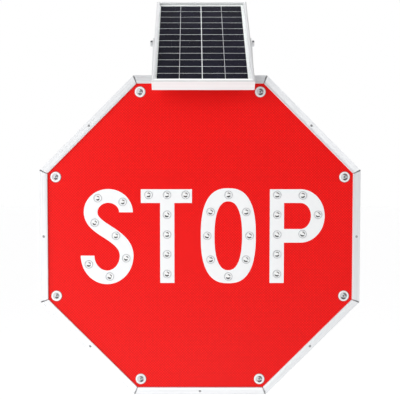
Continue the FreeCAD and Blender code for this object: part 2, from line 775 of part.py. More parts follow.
def battery_pack():
    """Wrapped pack of round cells that lies flat on the rear plate."""
    x0 = BATTERY_X - BATTERY_LENGTH / 2
    rear = at_depth(BACK_FRONT)
    y = (rear - BATTERY_THICKNESS, rear)
    z = (BATTERY_Z - BATTERY_WIDTH / 2, BATTERY_Z + BATTERY_WIDTH / 2)
    pack = block((x0, x0 + BATTERY_LENGTH), y, z)
    long_edges = [edge for edge in pack.Edges if abs(edge.Length - BATTERY_LENGTH) < 0.01]
    return pack.makeFillet(BATTERY_ROUND, long_edges)


def strap_outline(gap):
    """Outline of the strap's outside over the pack, moved out by a gap."""
    rear = at_depth(BACK_FRONT)
    half = BATTERY_WIDTH / 2 + gap
    front = rear - BATTERY_THICKNESS - gap
    return half, front, rear


def battery_strap():
    """Two bent straps over the pack, with feet on the rear plate."""
    straps = []
    inner_half, inner_front, rear = strap_outline(0.0)
    outer_half, outer_front, rear = strap_outline(STRAP_THICKNESS)
    foot = outer_half + STRAP_FOOT
    right = [
        (foot, rear), (foot, rear - STRAP_THICKNESS), (outer_half, rear - STRAP_THICKNESS),
        (outer_half, outer_front),
    ]
    inner = [(inner_half, inner_front), (inner_half, rear)]
    half_outline = right + [(-across, y) for across, y in reversed(right)]
    inner_outline = [(-across, y) for across, y in reversed(inner)] + inner
    for x in strap_middles():
        points = [V(x - STRAP_WIDTH / 2, y, BATTERY_Z + across) for across, y in half_outline + inner_outline]
        strap = prism(points, V(STRAP_WIDTH, 0, 0))
        tools = [
            rod(STRAP_SCREW_RADIUS + HOLE_CLEARANCE, V(sx, rear - STRAP_THICKNESS - OVERCUT, sz), ALONG_Y,
                STRAP_THICKNESS + 2 * OVERCUT)
            for sx, sz in strap_screw_places() if abs(sx - x) < STRAP_WIDTH
        ]
        straps.append(strap.cut(group(tools)))
    return straps


def strap_middles():
    """Places of the two straps along the pack."""
    return [BATTERY_X - BATTERY_LENGTH / 4, BATTERY_X + BATTERY_LENGTH / 4]


def strap_screw_places():
    """Screws through the feet of the straps, in the XZ plane."""
    reach = BATTERY_WIDTH / 2 + STRAP_THICKNESS + STRAP_FOOT / 2
    return [(x, BATTERY_Z + side) for x in strap_middles() for side in (-reach, reach)]


def strap_screw(x, z):
    """Screw from a strap's foot into the rear plate."""
    rear = at_depth(BACK_FRONT)
    seat = rear - STRAP_THICKNESS
    head = rod(STRAP_SCREW_HEAD_RADIUS, V(x, seat - STRAP_SCREW_HEAD_HEIGHT, z), ALONG_Y,
               STRAP_SCREW_HEAD_HEIGHT)
    shank = rod(STRAP_SCREW_RADIUS, V(x, seat, z), ALONG_Y, STRAP_THICKNESS + BACK_THICKNESS)
    return head.fuse(shank).removeSplitter()


def controller_board():
    """Charge controller's printed board on its pillars."""
    rear = at_depth(BACK_FRONT) - CONTROLLER_STANDOFF
    return block(
        (CONTROLLER_X - CONTROLLER_LENGTH / 2, CONTROLLER_X + CONTROLLER_LENGTH / 2),
        (rear - BOARD_THICKNESS, rear),
        (CONTROLLER_Z - CONTROLLER_WIDTH / 2, CONTROLLER_Z + CONTROLLER_WIDTH / 2),
    )


def controller_standoffs():
    """Pillars between the controller's corners and the rear plate."""
    pillars = []
    start = at_depth(BACK_FRONT) - CONTROLLER_STANDOFF
    for side in (-1, 1):
        for level in (-1, 1):
            x = CONTROLLER_X + side * (CONTROLLER_LENGTH / 2 - STANDOFF_INSET)
            z = CONTROLLER_Z + level * (CONTROLLER_WIDTH / 2 - STANDOFF_INSET)
            pillars.append(hexagon(STANDOFF_FLATS, V(x, start, z), ALONG_Y, CONTROLLER_STANDOFF))
    return pillars


def controller_components():
    """Coil, capacitors and terminal block on the controller's front."""
    face = at_depth(BACK_FRONT) - CONTROLLER_STANDOFF - BOARD_THICKNESS
    half = COIL_SIZE / 2
    coil_x = CONTROLLER_X - CONTROLLER_LENGTH / 4
    coil = block((coil_x - half, coil_x + half), (face - COIL_HEIGHT, face),
                 (CONTROLLER_Z - half, CONTROLLER_Z + half))
    edges = [edge for edge in coil.Edges if abs(edge.Length - COIL_HEIGHT) < 0.01]
    solids = [coil.makeFillet(COIL_ROUND, edges)]
    for k in range(2):
        x = CONTROLLER_X + CONTROLLER_LENGTH / 8 + k * CAPACITOR_RADIUS * 3
        solids.append(rod(CAPACITOR_RADIUS, V(x, face - CAPACITOR_HEIGHT, CONTROLLER_Z), ALONG_Y,
                          CAPACITOR_HEIGHT))
    low = CONTROLLER_Z - CONTROLLER_WIDTH / 2 + STANDOFF_INSET / 2
    solids.append(block((CONTROLLER_X - TERMINAL_LENGTH / 2, CONTROLLER_X + TERMINAL_LENGTH / 2),
                        (face - TERMINAL_HEIGHT, face), (low, low + TERMINAL_WIDTH)))
    return solids


# Solar panel, drawn upright about its pivot and then leant back

def leant(shape):
    """Copy of an upright panel piece at the panel's tilt and place."""
    copy = shape.copy()
    copy.rotate(ORIGIN, ALONG_X, -PANEL_TILT)
    copy.translate(PIVOT)
    return copy


def panel_y(depth):
    """Y, on the upright panel, of a point this far behind its front."""
    return depth - PIVOT_PANEL_DEPTH


GLASS_FRONT = PANEL_WALL
RIBBON_FRONT = GLASS_FRONT + GLASS_THICKNESS + LAYER_GAP
CELL_FRONT = RIBBON_FRONT + RIBBON_THICKNESS
SHEET_FRONT = CELL_FRONT + CELL_THICKNESS + LAYER_GAP
SHEET_REAR = SHEET_FRONT + BACKSHEET_THICKNESS
PANEL_SHELF = SHEET_REAR + LAYER_GAP


def panel_section():
    """Outline of the panel's extrusion as inset from the outer wall and depth, with a sloped front arris."""
    flange_front = PANEL_THICKNESS - PANEL_WALL
    return [
        (PANEL_ARRIS_WIDTH, 0), (PANEL_LIP, 0), (PANEL_LIP, GLASS_FRONT), (PANEL_WALL, GLASS_FRONT),
        (PANEL_WALL, PANEL_SHELF), (PANEL_LIP, PANEL_SHELF), (PANEL_LIP, PANEL_SHELF + PANEL_WALL),
        (PANEL_WALL, PANEL_SHELF + PANEL_WALL), (PANEL_WALL, flange_front),
        (PANEL_FLANGE, flange_front), (PANEL_FLANGE, PANEL_THICKNESS), (0, PANEL_THICKNESS),
        (0, PANEL_ARRIS_DEPTH),
    ]


def panel_rail(length, reach, angle):
    """Mitred rail, drawn along X at the given reach below the pivot, then turned into place."""
    half = length / 2
    points = [V(-half, panel_y(depth), -reach + inset) for inset, depth in panel_section()]
    rail = prism(points, V(length, 0, 0))
    run = PANEL_FLANGE + PANEL_WALL
    gap = PANEL_MITRE_GAP / math.sqrt(2)
    y = panel_y(-OVERCUT)
    trapezium = [
        V(-half + gap - OVERCUT, y, -reach - OVERCUT), V(half - gap + OVERCUT, y, -reach - OVERCUT),
        V(half - gap - run, y, -reach + run), V(-half + gap + run, y, -reach + run),
    ]
    rail = rail.common(prism(trapezium, V(0, PANEL_THICKNESS + 2 * OVERCUT, 0)))
    return turned(rail, angle)


def side_rail(side):
    """Left or right rail with its pivot hole."""
    rail = panel_rail(PANEL_LENGTH, PANEL_WIDTH / 2, QUARTER if side < 0 else 3 * QUARTER)
    hole = rod(PIVOT_RADIUS + PIVOT_CLEARANCE, V(side * (PANEL_WIDTH / 2 - PANEL_FLANGE), 0, 0),
               V(side, 0, 0), PANEL_FLANGE + OVERCUT)
    return rail.cut(hole)


def panel_corner_keys():
    """Angle pieces in the four corners of the panel's frame."""
    keys = []
    start = PANEL_SHELF + PANEL_WALL + KEY_CLEARANCE
    y = (panel_y(start), panel_y(start + PANEL_KEY_HEIGHT))
    x_wall = PANEL_WIDTH / 2 - PANEL_WALL - KEY_CLEARANCE
    z_wall = PANEL_LENGTH / 2 - PANEL_WALL - KEY_CLEARANCE
    for side in (-1, 1):
        for level in (-1, 1):
            x = sorted((side * x_wall, side * (x_wall - PANEL_KEY_LEG)))
            z = sorted((level * z_wall, level * (z_wall - PANEL_KEY_LEG)))
            cut_x = sorted((side * (x_wall - PANEL_KEY_THICKNESS), side * (x_wall - 2 * PANEL_KEY_LEG)))
            cut_z = sorted((level * (z_wall - PANEL_KEY_THICKNESS), level * (z_wall - 2 * PANEL_KEY_LEG)))
            keys.append(block(x, y, z).cut(block(cut_x, (y[0] - OVERCUT, y[1] + OVERCUT), cut_z)))
    return keys


def laminate_layer(front, thickness):
    """Full sheet of the laminate inside the frame's groove."""
    x = PANEL_WIDTH / 2 - PANEL_WALL - EDGE_CLEARANCE
    z = PANEL_LENGTH / 2 - PANEL_WALL - EDGE_CLEARANCE
    return block((-x, x), (panel_y(front), panel_y(front + thickness)), (-z, z))


def string_limits(side):
    """Lowest and highest X of the left or right string of cells."""
    left = -PANEL_WIDTH / 2 + CELLS_LEFT_MARGIN
    right = PANEL_WIDTH / 2 - CELLS_RIGHT_MARGIN
    middle = (left + right) / 2
    if side < 0:
        return left, middle - STRING_GAP / 2
    return middle + STRING_GAP / 2, right


def solar_cells(side):
    """One string of cells, one above the other."""
    bottom = -PANEL_LENGTH / 2 + CELLS_BOTTOM_MARGIN
    top = PANEL_LENGTH / 2 - CELLS_TOP_MARGIN
    pitch = (top - bottom + CELL_GAP) / CELL_ROWS
    y = (panel_y(CELL_FRONT), panel_y(CELL_FRONT + CELL_THICKNESS))
    return [
        block(string_limits(side), y, (bottom + pitch * k, bottom + pitch * (k + 1) - CELL_GAP))
        for k in range(CELL_ROWS)
    ]


def cell_ribbons():
    """Flat conductor down the middle of each string."""
    z = (-PANEL_LENGTH / 2 + CELLS_BOTTOM_MARGIN, PANEL_LENGTH / 2 - CELLS_TOP_MARGIN)
    y = (panel_y(RIBBON_FRONT), panel_y(RIBBON_FRONT + RIBBON_THICKNESS))
    ribbons = []
    for side in (-1, 1):
        limits = string_limits(side)
        middle = (limits[0] + limits[1]) / 2
        ribbons.append(block((middle - RIBBON_WIDTH / 2, middle + RIBBON_WIDTH / 2), y, z))
    return ribbons


def junction_box():
    """Open moulded box on the rear of the backsheet."""
    half = JUNCTION_LENGTH / 2
    z = (JUNCTION_RISE - JUNCTION_WIDTH / 2, JUNCTION_RISE + JUNCTION_WIDTH / 2)
    y = (panel_y(SHEET_REAR), panel_y(SHEET_REAR + JUNCTION_DEPTH))
    shell = block((-half, half), y, z)
    edges = [edge for edge in shell.Edges if abs(edge.Length - JUNCTION_DEPTH) < 0.01]
    shell = shell.makeFillet(JUNCTION_CORNER, edges)
    hollow = block(
        (-half + JUNCTION_WALL, half - JUNCTION_WALL),
        (y[0] + JUNCTION_WALL, y[1] + OVERCUT),
        (z[0] + JUNCTION_WALL, z[1] - JUNCTION_WALL),
    )
    return shell.cut(hollow)


def junction_box_lid():
    """Flat lid on the junction box."""
    half = JUNCTION_LENGTH / 2
    z = (JUNCTION_RISE - JUNCTION_WIDTH / 2, JUNCTION_RISE + JUNCTION_WIDTH / 2)
    start = panel_y(SHEET_REAR + JUNCTION_DEPTH)
    lid = block((-half, half), (start, start + JUNCTION_LID), z)
    edges = [edge for edge in lid.Edges if abs(edge.Length - JUNCTION_LID) < 0.01]
    return lid.makeFillet(JUNCTION_CORNER, edges)


def panel_gland():
    """Short round cable entry at the lower wall of the junction box."""
    y = panel_y(SHEET_REAR + JUNCTION_DEPTH / 2)
    z = JUNCTION_RISE - JUNCTION_WIDTH / 2
    body = Part.makeCone(PANEL_GLAND_RADIUS, PANEL_GLAND_RADIUS * PANEL_GLAND_TAPER, PANEL_GLAND_LENGTH,
                         V(0, y, z), V(0, 0, -1))
    bore = rod(PANEL_GLAND_BORE, V(0, y, z - PANEL_GLAND_LENGTH - OVERCUT), V(0, 0, 1), PANEL_GLAND_LENGTH)
    return body.cut(bore)


# Pivot and brackets

def pivot_stack(side):
    """Bolt, outer washer, spacer and nut of one pivot, on the axis through the pivot."""
    wall = PANEL_WIDTH / 2
    out = V(side, 0, 0)
    washer_start = ARM_OUTER + PIVOT_SIDE_PLAY
    head_start = washer_start + PIVOT_WASHER_THICKNESS
    bolt_start = wall - PANEL_WALL - PIVOT_NUT_HEIGHT - PIVOT_BOLT_END
    head = hexagon(PIVOT_HEAD_FLATS, V(side * head_start, 0, 0), out, PIVOT_HEAD_HEIGHT)
    shank = rod(PIVOT_RADIUS, V(side * bolt_start, 0, 0), out, head_start - bolt_start)
    bolt = head.fuse(shank).removeSplitter()
    hole = rod(PIVOT_RADIUS, V(0, 0, 0), out, PANEL_WIDTH)
    washer = rod(PIVOT_WASHER_RADIUS, V(side * washer_start, 0, 0), out, PIVOT_WASHER_THICKNESS).cut(hole)
    spacer = rod(SPACER_RADIUS, V(side * wall, 0, 0), out, SPACER_THICKNESS).cut(hole)
    nut = hexagon(PIVOT_HEAD_FLATS, V(side * (wall - PANEL_WALL - PIVOT_NUT_HEIGHT), 0, 0), out,
                  PIVOT_NUT_HEIGHT).cut(hole)
    return bolt, washer, spacer, nut


def tangent_point(corner, side):
    """Y and Z where a line from a corner of the arm's foot touches the round end about the pivot."""
    dy = corner[0] - PIVOT.y
    dz = corner[1] - PIVOT.z
    distance = math.hypot(dy, dz)
    angle = math.atan2(dz, dy) + side * math.acos(ARM_RADIUS / distance)
    return PIVOT.y + ARM_RADIUS * math.cos(angle), PIVOT.z + ARM_RADIUS * math.sin(angle)


def bracket():
    """Right angle bracket about the panel's middle: a foot on the top rail and an arm up to the pivot."""
    front = at_depth(FOOT_FRONT)
    rear = front + FOOT_DEPTH
    foot_front = (front, APOTHEM)
    foot_rear = (rear, APOTHEM)
    touch_front = tangent_point(foot_front, -1)
    touch_rear = tangent_point(foot_rear, 1)
    outline = [foot_front, foot_rear, touch_rear, (PIVOT.y, PIVOT.z), touch_front]
    arm = prism([V(ARM_INNER, y, z) for y, z in outline], V(ARM_THICKNESS, 0, 0))
    arm = arm.fuse(rod(ARM_RADIUS, V(ARM_INNER, PIVOT.y, PIVOT.z), ALONG_X, ARM_THICKNESS))
    foot = block((ARM_OUTER - FOOT_LENGTH, ARM_OUTER), (front, rear), (APOTHEM, APOTHEM + ARM_THICKNESS))
    shape = arm.fuse(foot).removeSplitter()
    bend = [
        edge for edge in shape.Edges
        if abs(edge.CenterOfMass.x - ARM_INNER) < 0.01
        and abs(edge.CenterOfMass.z - APOTHEM - ARM_THICKNESS) < 0.01
    ]
    shape = shape.makeFillet(BEND_RADIUS, bend)
    shape = shape.cut(rod(PIVOT_RADIUS + PIVOT_CLEARANCE, V(ARM_INNER - OVERCUT, PIVOT.y, PIVOT.z), ALONG_X,
                          ARM_THICKNESS + 2 * OVERCUT))
    for x, y in foot_screw_places():
        if x > 0:
            shape = shape.cut(rod(FOOT_SCREW_RADIUS + HOLE_CLEARANCE, V(x, y, APOTHEM - OVERCUT), V(0, 0, 1),
                                  ARM_THICKNESS + 2 * OVERCUT))
    return shape


def foot_screw_places():
    """Screws of both brackets' feet about the panel's middle, in the XY plane, centred in the key channel."""
    middle = at_depth(KEY_CHANNEL_START + KEY_CHANNEL_WIDTH / 2)
    return [
        (side * FOOT_SCREW_X, middle + end * FOOT_SCREW_PITCH / 2)
        for side in (-1, 1) for end in (-1, 1)
    ]


def foot_screw(x, y):
    """Pan head screw from a foot down through the top rail's wall."""
    seat = APOTHEM + ARM_THICKNESS
    length = ARM_THICKNESS + FRAME_WALL + FOOT_NUT_HEIGHT + FOOT_SCREW_END
    head = Part.makeCone(FOOT_SCREW_HEAD_RADIUS, FOOT_SCREW_HEAD_RADIUS * SCREW_HEAD_TAPER,
                         FOOT_SCREW_HEAD_HEIGHT, V(x, y, seat), V(0, 0, 1))
    return head.fuse(rod(FOOT_SCREW_RADIUS, V(x, y, seat - length), V(0, 0, 1), length)).removeSplitter()


def foot_nut(x, y):
    """Nut on the inside of the top rail's wall."""
    top = APOTHEM - FRAME_WALL
    nut = hexagon(FOOT_NUT_FLATS, V(x, y, top - FOOT_NUT_HEIGHT), V(0, 0, 1), FOOT_NUT_HEIGHT)
    return nut.cut(rod(FOOT_SCREW_RADIUS, V(x, y, top - FOOT_NUT_HEIGHT - OVERCUT), V(0, 0, 1),
                       FOOT_NUT_HEIGHT + 2 * OVERCUT))


def housing_gland():
    """Cable gland in the top rail: hexagon, domed cap and through hole."""
    y = at_depth(gland_depth())
    up = V(0, 0, 1)
    hexagonal = hexagon(GLAND_FLATS, V(0, y, APOTHEM), up, GLAND_HEX_HEIGHT)
    cap = Part.makeCone(GLAND_DOME_RADIUS, GLAND_DOME_RADIUS * GLAND_DOME_TAPER, GLAND_DOME_HEIGHT,
                        V(0, y, APOTHEM + GLAND_HEX_HEIGHT), up)
    thread_end = FRAME_WALL + GLAND_NUT_HEIGHT + GLAND_THREAD_END
    thread = rod(GLAND_RADIUS, V(0, y, APOTHEM - thread_end), up, thread_end)
    body = hexagonal.fuse([cap, thread]).removeSplitter()
    height = thread_end + GLAND_HEX_HEIGHT + GLAND_DOME_HEIGHT
    return body.cut(rod(GLAND_BORE, V(0, y, APOTHEM - thread_end - OVERCUT), up, height + 2 * OVERCUT))


def housing_gland_nut():
    """Lock nut of the gland inside the top rail."""
    y = at_depth(gland_depth())
    top = APOTHEM - FRAME_WALL
    nut = hexagon(GLAND_FLATS, V(0, y, top - GLAND_NUT_HEIGHT), V(0, 0, 1), GLAND_NUT_HEIGHT)
    return nut.cut(rod(GLAND_RADIUS, V(0, y, top - GLAND_NUT_HEIGHT - OVERCUT), V(0, 0, 1),
                       GLAND_NUT_HEIGHT + 2 * OVERCUT))


# Every node of the sign

def housing_nodes():
    """Frame, face, rear plate and mount rails."""
    nodes = {}
    rail = frame_rail()
    for k, name in enumerate(SIDE_NAMES):
        nodes["frame_rail_" + name] = turned(rail, TURN * k)
    nodes["frame_rail_top"] = nodes["frame_rail_top"].cut(group(top_rail_holes()))
    nodes["corner_keys"] = group(around(corner_key(), TURN / 2))
    nodes["face_clips"] = group(around(face_clip()))
    nodes["face_clip_screws"] = group(around(clip_screw()))
    nodes["face_plate"] = face_plate()
    nodes["reflective_sheeting"] = reflective_sheeting()
    nodes["back_plate"] = back_plate()
    nodes["back_plate_screws"] = group([copy for screw in back_screws() for copy in around(screw)])
    nodes["mount_rail_upper"] = mount_rail(MOUNT_RAIL_SPACING / 2)
    nodes["mount_rail_lower"] = mount_rail(-MOUNT_RAIL_SPACING / 2)
    nodes["rail_rivets"] = group([rivet(x, z) for x, z in rivet_places()])
    return nodes


def light_nodes():
    """Lenses, bezels, boards and light sources."""
    nodes = {}
    lens = letter_lens()
    nodes["letter_lenses"] = group([moved(lens, x, 0, z) for x, z in LETTER_PLACES])
    large = border_lens()
    nodes["border_lenses"] = group([moved(large, x, 0, z) for x, z in border_places()])
    ring = bezel()
    nodes["border_bezels"] = group([moved(ring, x, 0, z) for x, z in border_places()])
    for letter, places in LETTERS.items():
        nodes["led_board_" + letter] = led_board(places)
    nodes["letter_leds"] = group([led(x, z) for x, z in LETTER_PLACES])
    nodes["letter_board_standoffs"] = group(board_standoffs())
    nodes["border_led_boards"] = group(around(border_board(), TURN / 2))
    nodes["border_leds"] = group(around(border_led(), TURN / 2))
    legs = [copy for leg in border_board_legs() for copy in around(leg, TURN / 2)]
    nodes["border_board_legs"] = group(legs)
    return nodes


def power_nodes():
    """Battery, controller and gland inside the housing."""
    return {
        "battery_pack": battery_pack(),
        "battery_straps": group(battery_strap()),
        "battery_strap_screws": group([strap_screw(x, z) for x, z in strap_screw_places()]),
        "controller_board": controller_board(),
        "controller_standoffs": group(controller_standoffs()),
        "controller_components": group(controller_components()),
        "housing_gland": housing_gland(),
        "housing_gland_nut": housing_gland_nut(),
    }


def bracket_nodes():
    """Brackets that carry the panel and what fastens them, moved over to the panel's middle."""
    right = bracket()
    nodes = {
        "panel_bracket_right": right,
        "panel_bracket_left": mirrored(right),
        "bracket_screws": group([foot_screw(x, y) for x, y in foot_screw_places()]),
        "bracket_nuts": group([foot_nut(x, y) for x, y in foot_screw_places()]),
    }
    return {name: moved(shape, PANEL_OFFSET, 0, 0) for name, shape in nodes.items()}


def panel_nodes():
    """Everything that tilts about the pivot."""
    stacks = [pivot_stack(side) for side in (-1, 1)]
    bolts, washers, spacers, nuts = (group(list(kind)) for kind in zip(*stacks))
    upright = {
        "panel_rail_bottom": panel_rail(PANEL_WIDTH, PANEL_LENGTH / 2, 0.0),
        "panel_rail_top": panel_rail(PANEL_WIDTH, PANEL_LENGTH / 2, 180.0),
        "panel_rail_left": side_rail(-1),
        "panel_rail_right": side_rail(1),
        "panel_corner_keys": group(panel_corner_keys()),
        "panel_glass": laminate_layer(GLASS_FRONT, GLASS_THICKNESS),
        "cell_ribbons": group(cell_ribbons()),
        "solar_cells_left": group(solar_cells(-1)),
        "solar_cells_right": group(solar_cells(1)),
        "backsheet": laminate_layer(SHEET_FRONT, BACKSHEET_THICKNESS),
        "junction_box": junction_box(),
        "junction_box_lid": junction_box_lid(),
        "panel_gland": panel_gland(),
        "pivot_bolts": bolts,
        "pivot_washers": washers,
        "pivot_spacers": spacers,
        "pivot_nuts": nuts,
    }
    return {name: leant(shape) for name, shape in upright.items()}


os.makedirs("parts", exist_ok=True)
for nodes in (housing_nodes(), light_nodes(), power_nodes(), bracket_nodes(), panel_nodes()):
    for node, shape in nodes.items():
        shape.exportStep("parts/" + node + ".step")
        print(node, len(shape.Solids), round(shape.Volume / 1000, 2), "cm3")
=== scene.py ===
"""Looks of a solar powered flashing stop sign, dressed over its frame.

The sign hangs upright with its face along -Y. Sizes are written in millimetres and
turned to metres by MM. Places that belong to the frame are read from the frame.
"""

import json
import logging
import math
from dataclasses import dataclass
from enum import Enum
from typing import Iterable, Sequence

import bmesh
import bpy
from bmesh.types import BMesh, BMVert
from bpy.types import ID, Material, Mesh, Node, NodeSocket, NodeTree, Object
from mathutils import Matrix, Vector
from mathutils.geometry import interpolate_bezier


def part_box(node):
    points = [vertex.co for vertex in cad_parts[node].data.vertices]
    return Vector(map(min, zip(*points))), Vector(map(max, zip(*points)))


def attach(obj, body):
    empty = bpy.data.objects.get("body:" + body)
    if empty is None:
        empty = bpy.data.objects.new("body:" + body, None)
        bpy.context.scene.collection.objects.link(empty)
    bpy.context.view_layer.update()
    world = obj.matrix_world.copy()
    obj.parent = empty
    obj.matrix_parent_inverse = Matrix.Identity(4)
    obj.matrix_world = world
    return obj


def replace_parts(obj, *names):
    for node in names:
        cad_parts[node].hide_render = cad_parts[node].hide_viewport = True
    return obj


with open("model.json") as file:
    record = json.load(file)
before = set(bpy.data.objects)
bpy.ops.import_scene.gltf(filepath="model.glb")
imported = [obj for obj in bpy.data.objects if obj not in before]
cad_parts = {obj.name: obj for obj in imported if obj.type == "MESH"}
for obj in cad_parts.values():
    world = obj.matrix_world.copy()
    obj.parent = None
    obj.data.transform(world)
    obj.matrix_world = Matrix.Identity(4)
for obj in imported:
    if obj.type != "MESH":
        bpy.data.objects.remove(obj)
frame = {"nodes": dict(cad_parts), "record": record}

LOG = logging.getLogger("stop_sign")
MM = 0.001
# Points that are nearer than this, in metres, are one point
MERGE = 1e-6
# How far one shape stands out of another in a cut, in millimetres
PROUD = 1.0
# Seat of a body that stands upright as it is
UPRIGHT = Matrix.Identity(4)
UNIT = (0.0, 1.0)
# Range that holds most values of smooth noise
MIDDLE = (0.3, 0.7)
Point = tuple[float, float]
Triple = tuple[float, float, float]
Colour = Triple


class Body(Enum):
    """The two bodies of the frame."""

    SIGN = "sign"
    PANEL = "solar_panel"


class Drive(Enum):
    """Recess in the head of a fastener."""

    CROSS = "cross"
    ROUND = "round"


class Facing(Enum):
    """Way that the head of a fastener looks."""

    FRONT = (0, -1, 0)
    REAR = (0, 1, 0)
    UP = (0, 0, 1)
    DOWN = (0, 0, -1)
    LEFT = (-1, 0, 0)
    RIGHT = (1, 0, 0)

    @property
    def axis(self) -> int:
        """0, 1 or 2 for a way along X, Y or Z."""
        return max(range(3), key=lambda k: abs(self.value[k]))


# Reading the frame


@dataclass(frozen=True)
class Solid:
    """Box of one separate solid of a node of the frame."""

    low: Vector
    high: Vector

    @property
    def centre(self) -> Vector:
        """Middle of the box."""
        return (self.low + self.high) / 2

    @property
    def size(self) -> Vector:
        """Lengths of the box along X, Y and Z."""
        return self.high - self.low


def solids_of(node: str, seat: Matrix = UPRIGHT) -> list[Solid]:
    """Finds the separate solids of a node.

    Args:
        node: Name of a node of the frame.
        seat: Matrix that carries a body from its own upright frame to its place.

    Returns:
        One box for each solid in that frame, from the lowest X to the highest.
    """
    upright = seat.inverted()
    mesh = bmesh.new()
    mesh.from_mesh(frame["nodes"][node].data)
    bmesh.ops.remove_doubles(mesh, verts=mesh.verts, dist=MERGE)
    waiting = set(mesh.verts)
    found = []
    while waiting:
        front = [waiting.pop()]
        points = []
        while front:
            vert = front.pop()
            points.append(upright @ vert.co)
            for edge in vert.link_edges:
                other = edge.other_vert(vert)
                if other in waiting:
                    waiting.discard(other)
                    front.append(other)
        low = Vector(min(p[axis] for p in points) for axis in range(3))
        high = Vector(max(p[axis] for p in points) for axis in range(3))
        found.append(Solid(low, high))
    mesh.free()
    return sorted(found, key=lambda solid: (round(solid.centre.x, 4), round(solid.centre.z, 4)))


def face_level() -> float:
    """Y of the front of the red film, in metres."""
    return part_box("reflective_sheeting")[0].y


def on_face(solids: Iterable[Solid]) -> list[Matrix]:
    """Places on the face in line with each solid, depth 0 at the front of the red film."""
    level = face_level()
    return [Matrix.Translation((solid.centre.x, level, solid.centre.z)) for solid in solids]


@dataclass(frozen=True)
class Lean:
    """How the panel leans: its pivot, and the angle in radians that it leans back at rest."""

    pivot: Vector
    tilt: float

    @classmethod
    def read(cls) -> "Lean":
        """Takes the pivot from its bolts and the angle from the slant of the glass."""
        low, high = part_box("pivot_bolts")
        foot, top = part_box("panel_glass")
        points = [v.co for v in frame["nodes"]["panel_glass"].data.vertices]
        highest = max(points, key=lambda p: p.z)
        front = min(points, key=lambda p: p.y)
        return cls((low + high) / 2, math.atan2(top.y - front.y, highest.z - foot.z))

    @property
    def seat(self) -> Matrix:
        """Carries a place on the upright panel, measured from the pivot, to where it leans."""
        return Matrix.Translation(self.pivot) @ Matrix.Rotation(-self.tilt, 4, "X")
# Materials


class Nodes:
    """A node tree under construction."""

    def __init__(self, tree: NodeTree) -> None:
        """Keeps the tree."""
        self.tree = tree

    def node(self, kind: str, **settings: object) -> Node:
        """Adds a node and sets its properties.

        Args:
            kind: Blender's name of the node type.
            **settings: Properties of the node by name.

        Returns:
            The new node.
        """
        made = self.tree.nodes.new(kind)
        for name, value in settings.items():
            setattr(made, name, value)
        return made

    def feed(self, target: NodeSocket, value: NodeSocket | float | Sequence[float]) -> None:
        """Links a socket to a target, or writes a constant on it."""
        if isinstance(value, NodeSocket):
            self.tree.links.new(value, target)
        else:
            target.default_value = value

    def maths(self, operation: str, *values: NodeSocket | float) -> NodeSocket:
        """One step of arithmetic."""
        made = self.node("ShaderNodeMath", operation=operation)
        for socket, value in zip(made.inputs, values):
            self.feed(socket, value)
        return made.outputs[0]

    def mean(self, first: NodeSocket, second: NodeSocket, share: float = 0.5) -> NodeSocket:
        """Weighs two values; the share is the first one's."""
        return self.maths(
            "ADD", self.maths("MULTIPLY", first, share), self.maths("MULTIPLY", second, 1.0 - share)
        )

    def parts(self, vector: NodeSocket) -> tuple[NodeSocket, NodeSocket, NodeSocket]:
        """X, Y and Z of a vector."""
        made = self.node("ShaderNodeSeparateXYZ")
        self.feed(made.inputs[0], vector)
        return made.outputs[0], made.outputs[1], made.outputs[2]

    def remap(
        self, value: NodeSocket, source: Point, target: Point = UNIT, curve: str = "LINEAR"
    ) -> NodeSocket:
        """Carries a value from one range to another, clamped.

        Args:
            value: The value.
            source: Its range.
            target: The new range.
            curve: LINEAR, or SMOOTHSTEP for soft ends.

        Returns:
            The new value as a socket.
        """
        made = self.node("ShaderNodeMapRange", interpolation_type=curve)
        self.feed(made.inputs["Value"], value)
        for name, number in zip(("From Min", "From Max", "To Min", "To Max"), (*source, *target)):
            made.inputs[name].default_value = number
        return made.outputs["Result"]

    def blend(
        self, factor: NodeSocket, first: Colour | NodeSocket, second: Colour | NodeSocket
    ) -> NodeSocket:
        """Mixes two colours by a factor."""
        made = self.node("ShaderNodeMix", data_type="RGBA")
        self.feed(made.inputs["Factor"], factor)
        for socket, value in ((made.inputs[6], first), (made.inputs[7], second)):
            self.feed(socket, (*value, 1.0) if isinstance(value, tuple) else value)
        return made.outputs[2]

    def rays(self, *kinds: str) -> NodeSocket:
        """1 for rays of any of these kinds, by their names in Light Path, and 0 for the others."""
        path = self.node("ShaderNodeLightPath")
        found = path.outputs[kinds[0]]
        for kind in kinds[1:]:
            found = self.maths("MAXIMUM", found, path.outputs[kind])
        return found

    def choose(self, factor: NodeSocket, first: Node, second: Node) -> NodeSocket:
        """The first shader where the factor is 0 and the second where it is 1."""
        made = self.node("ShaderNodeMixShader")
        for socket, value in zip(made.inputs, (factor, first.outputs[0], second.outputs[0])):
            self.feed(socket, value)
        return made.outputs[0]


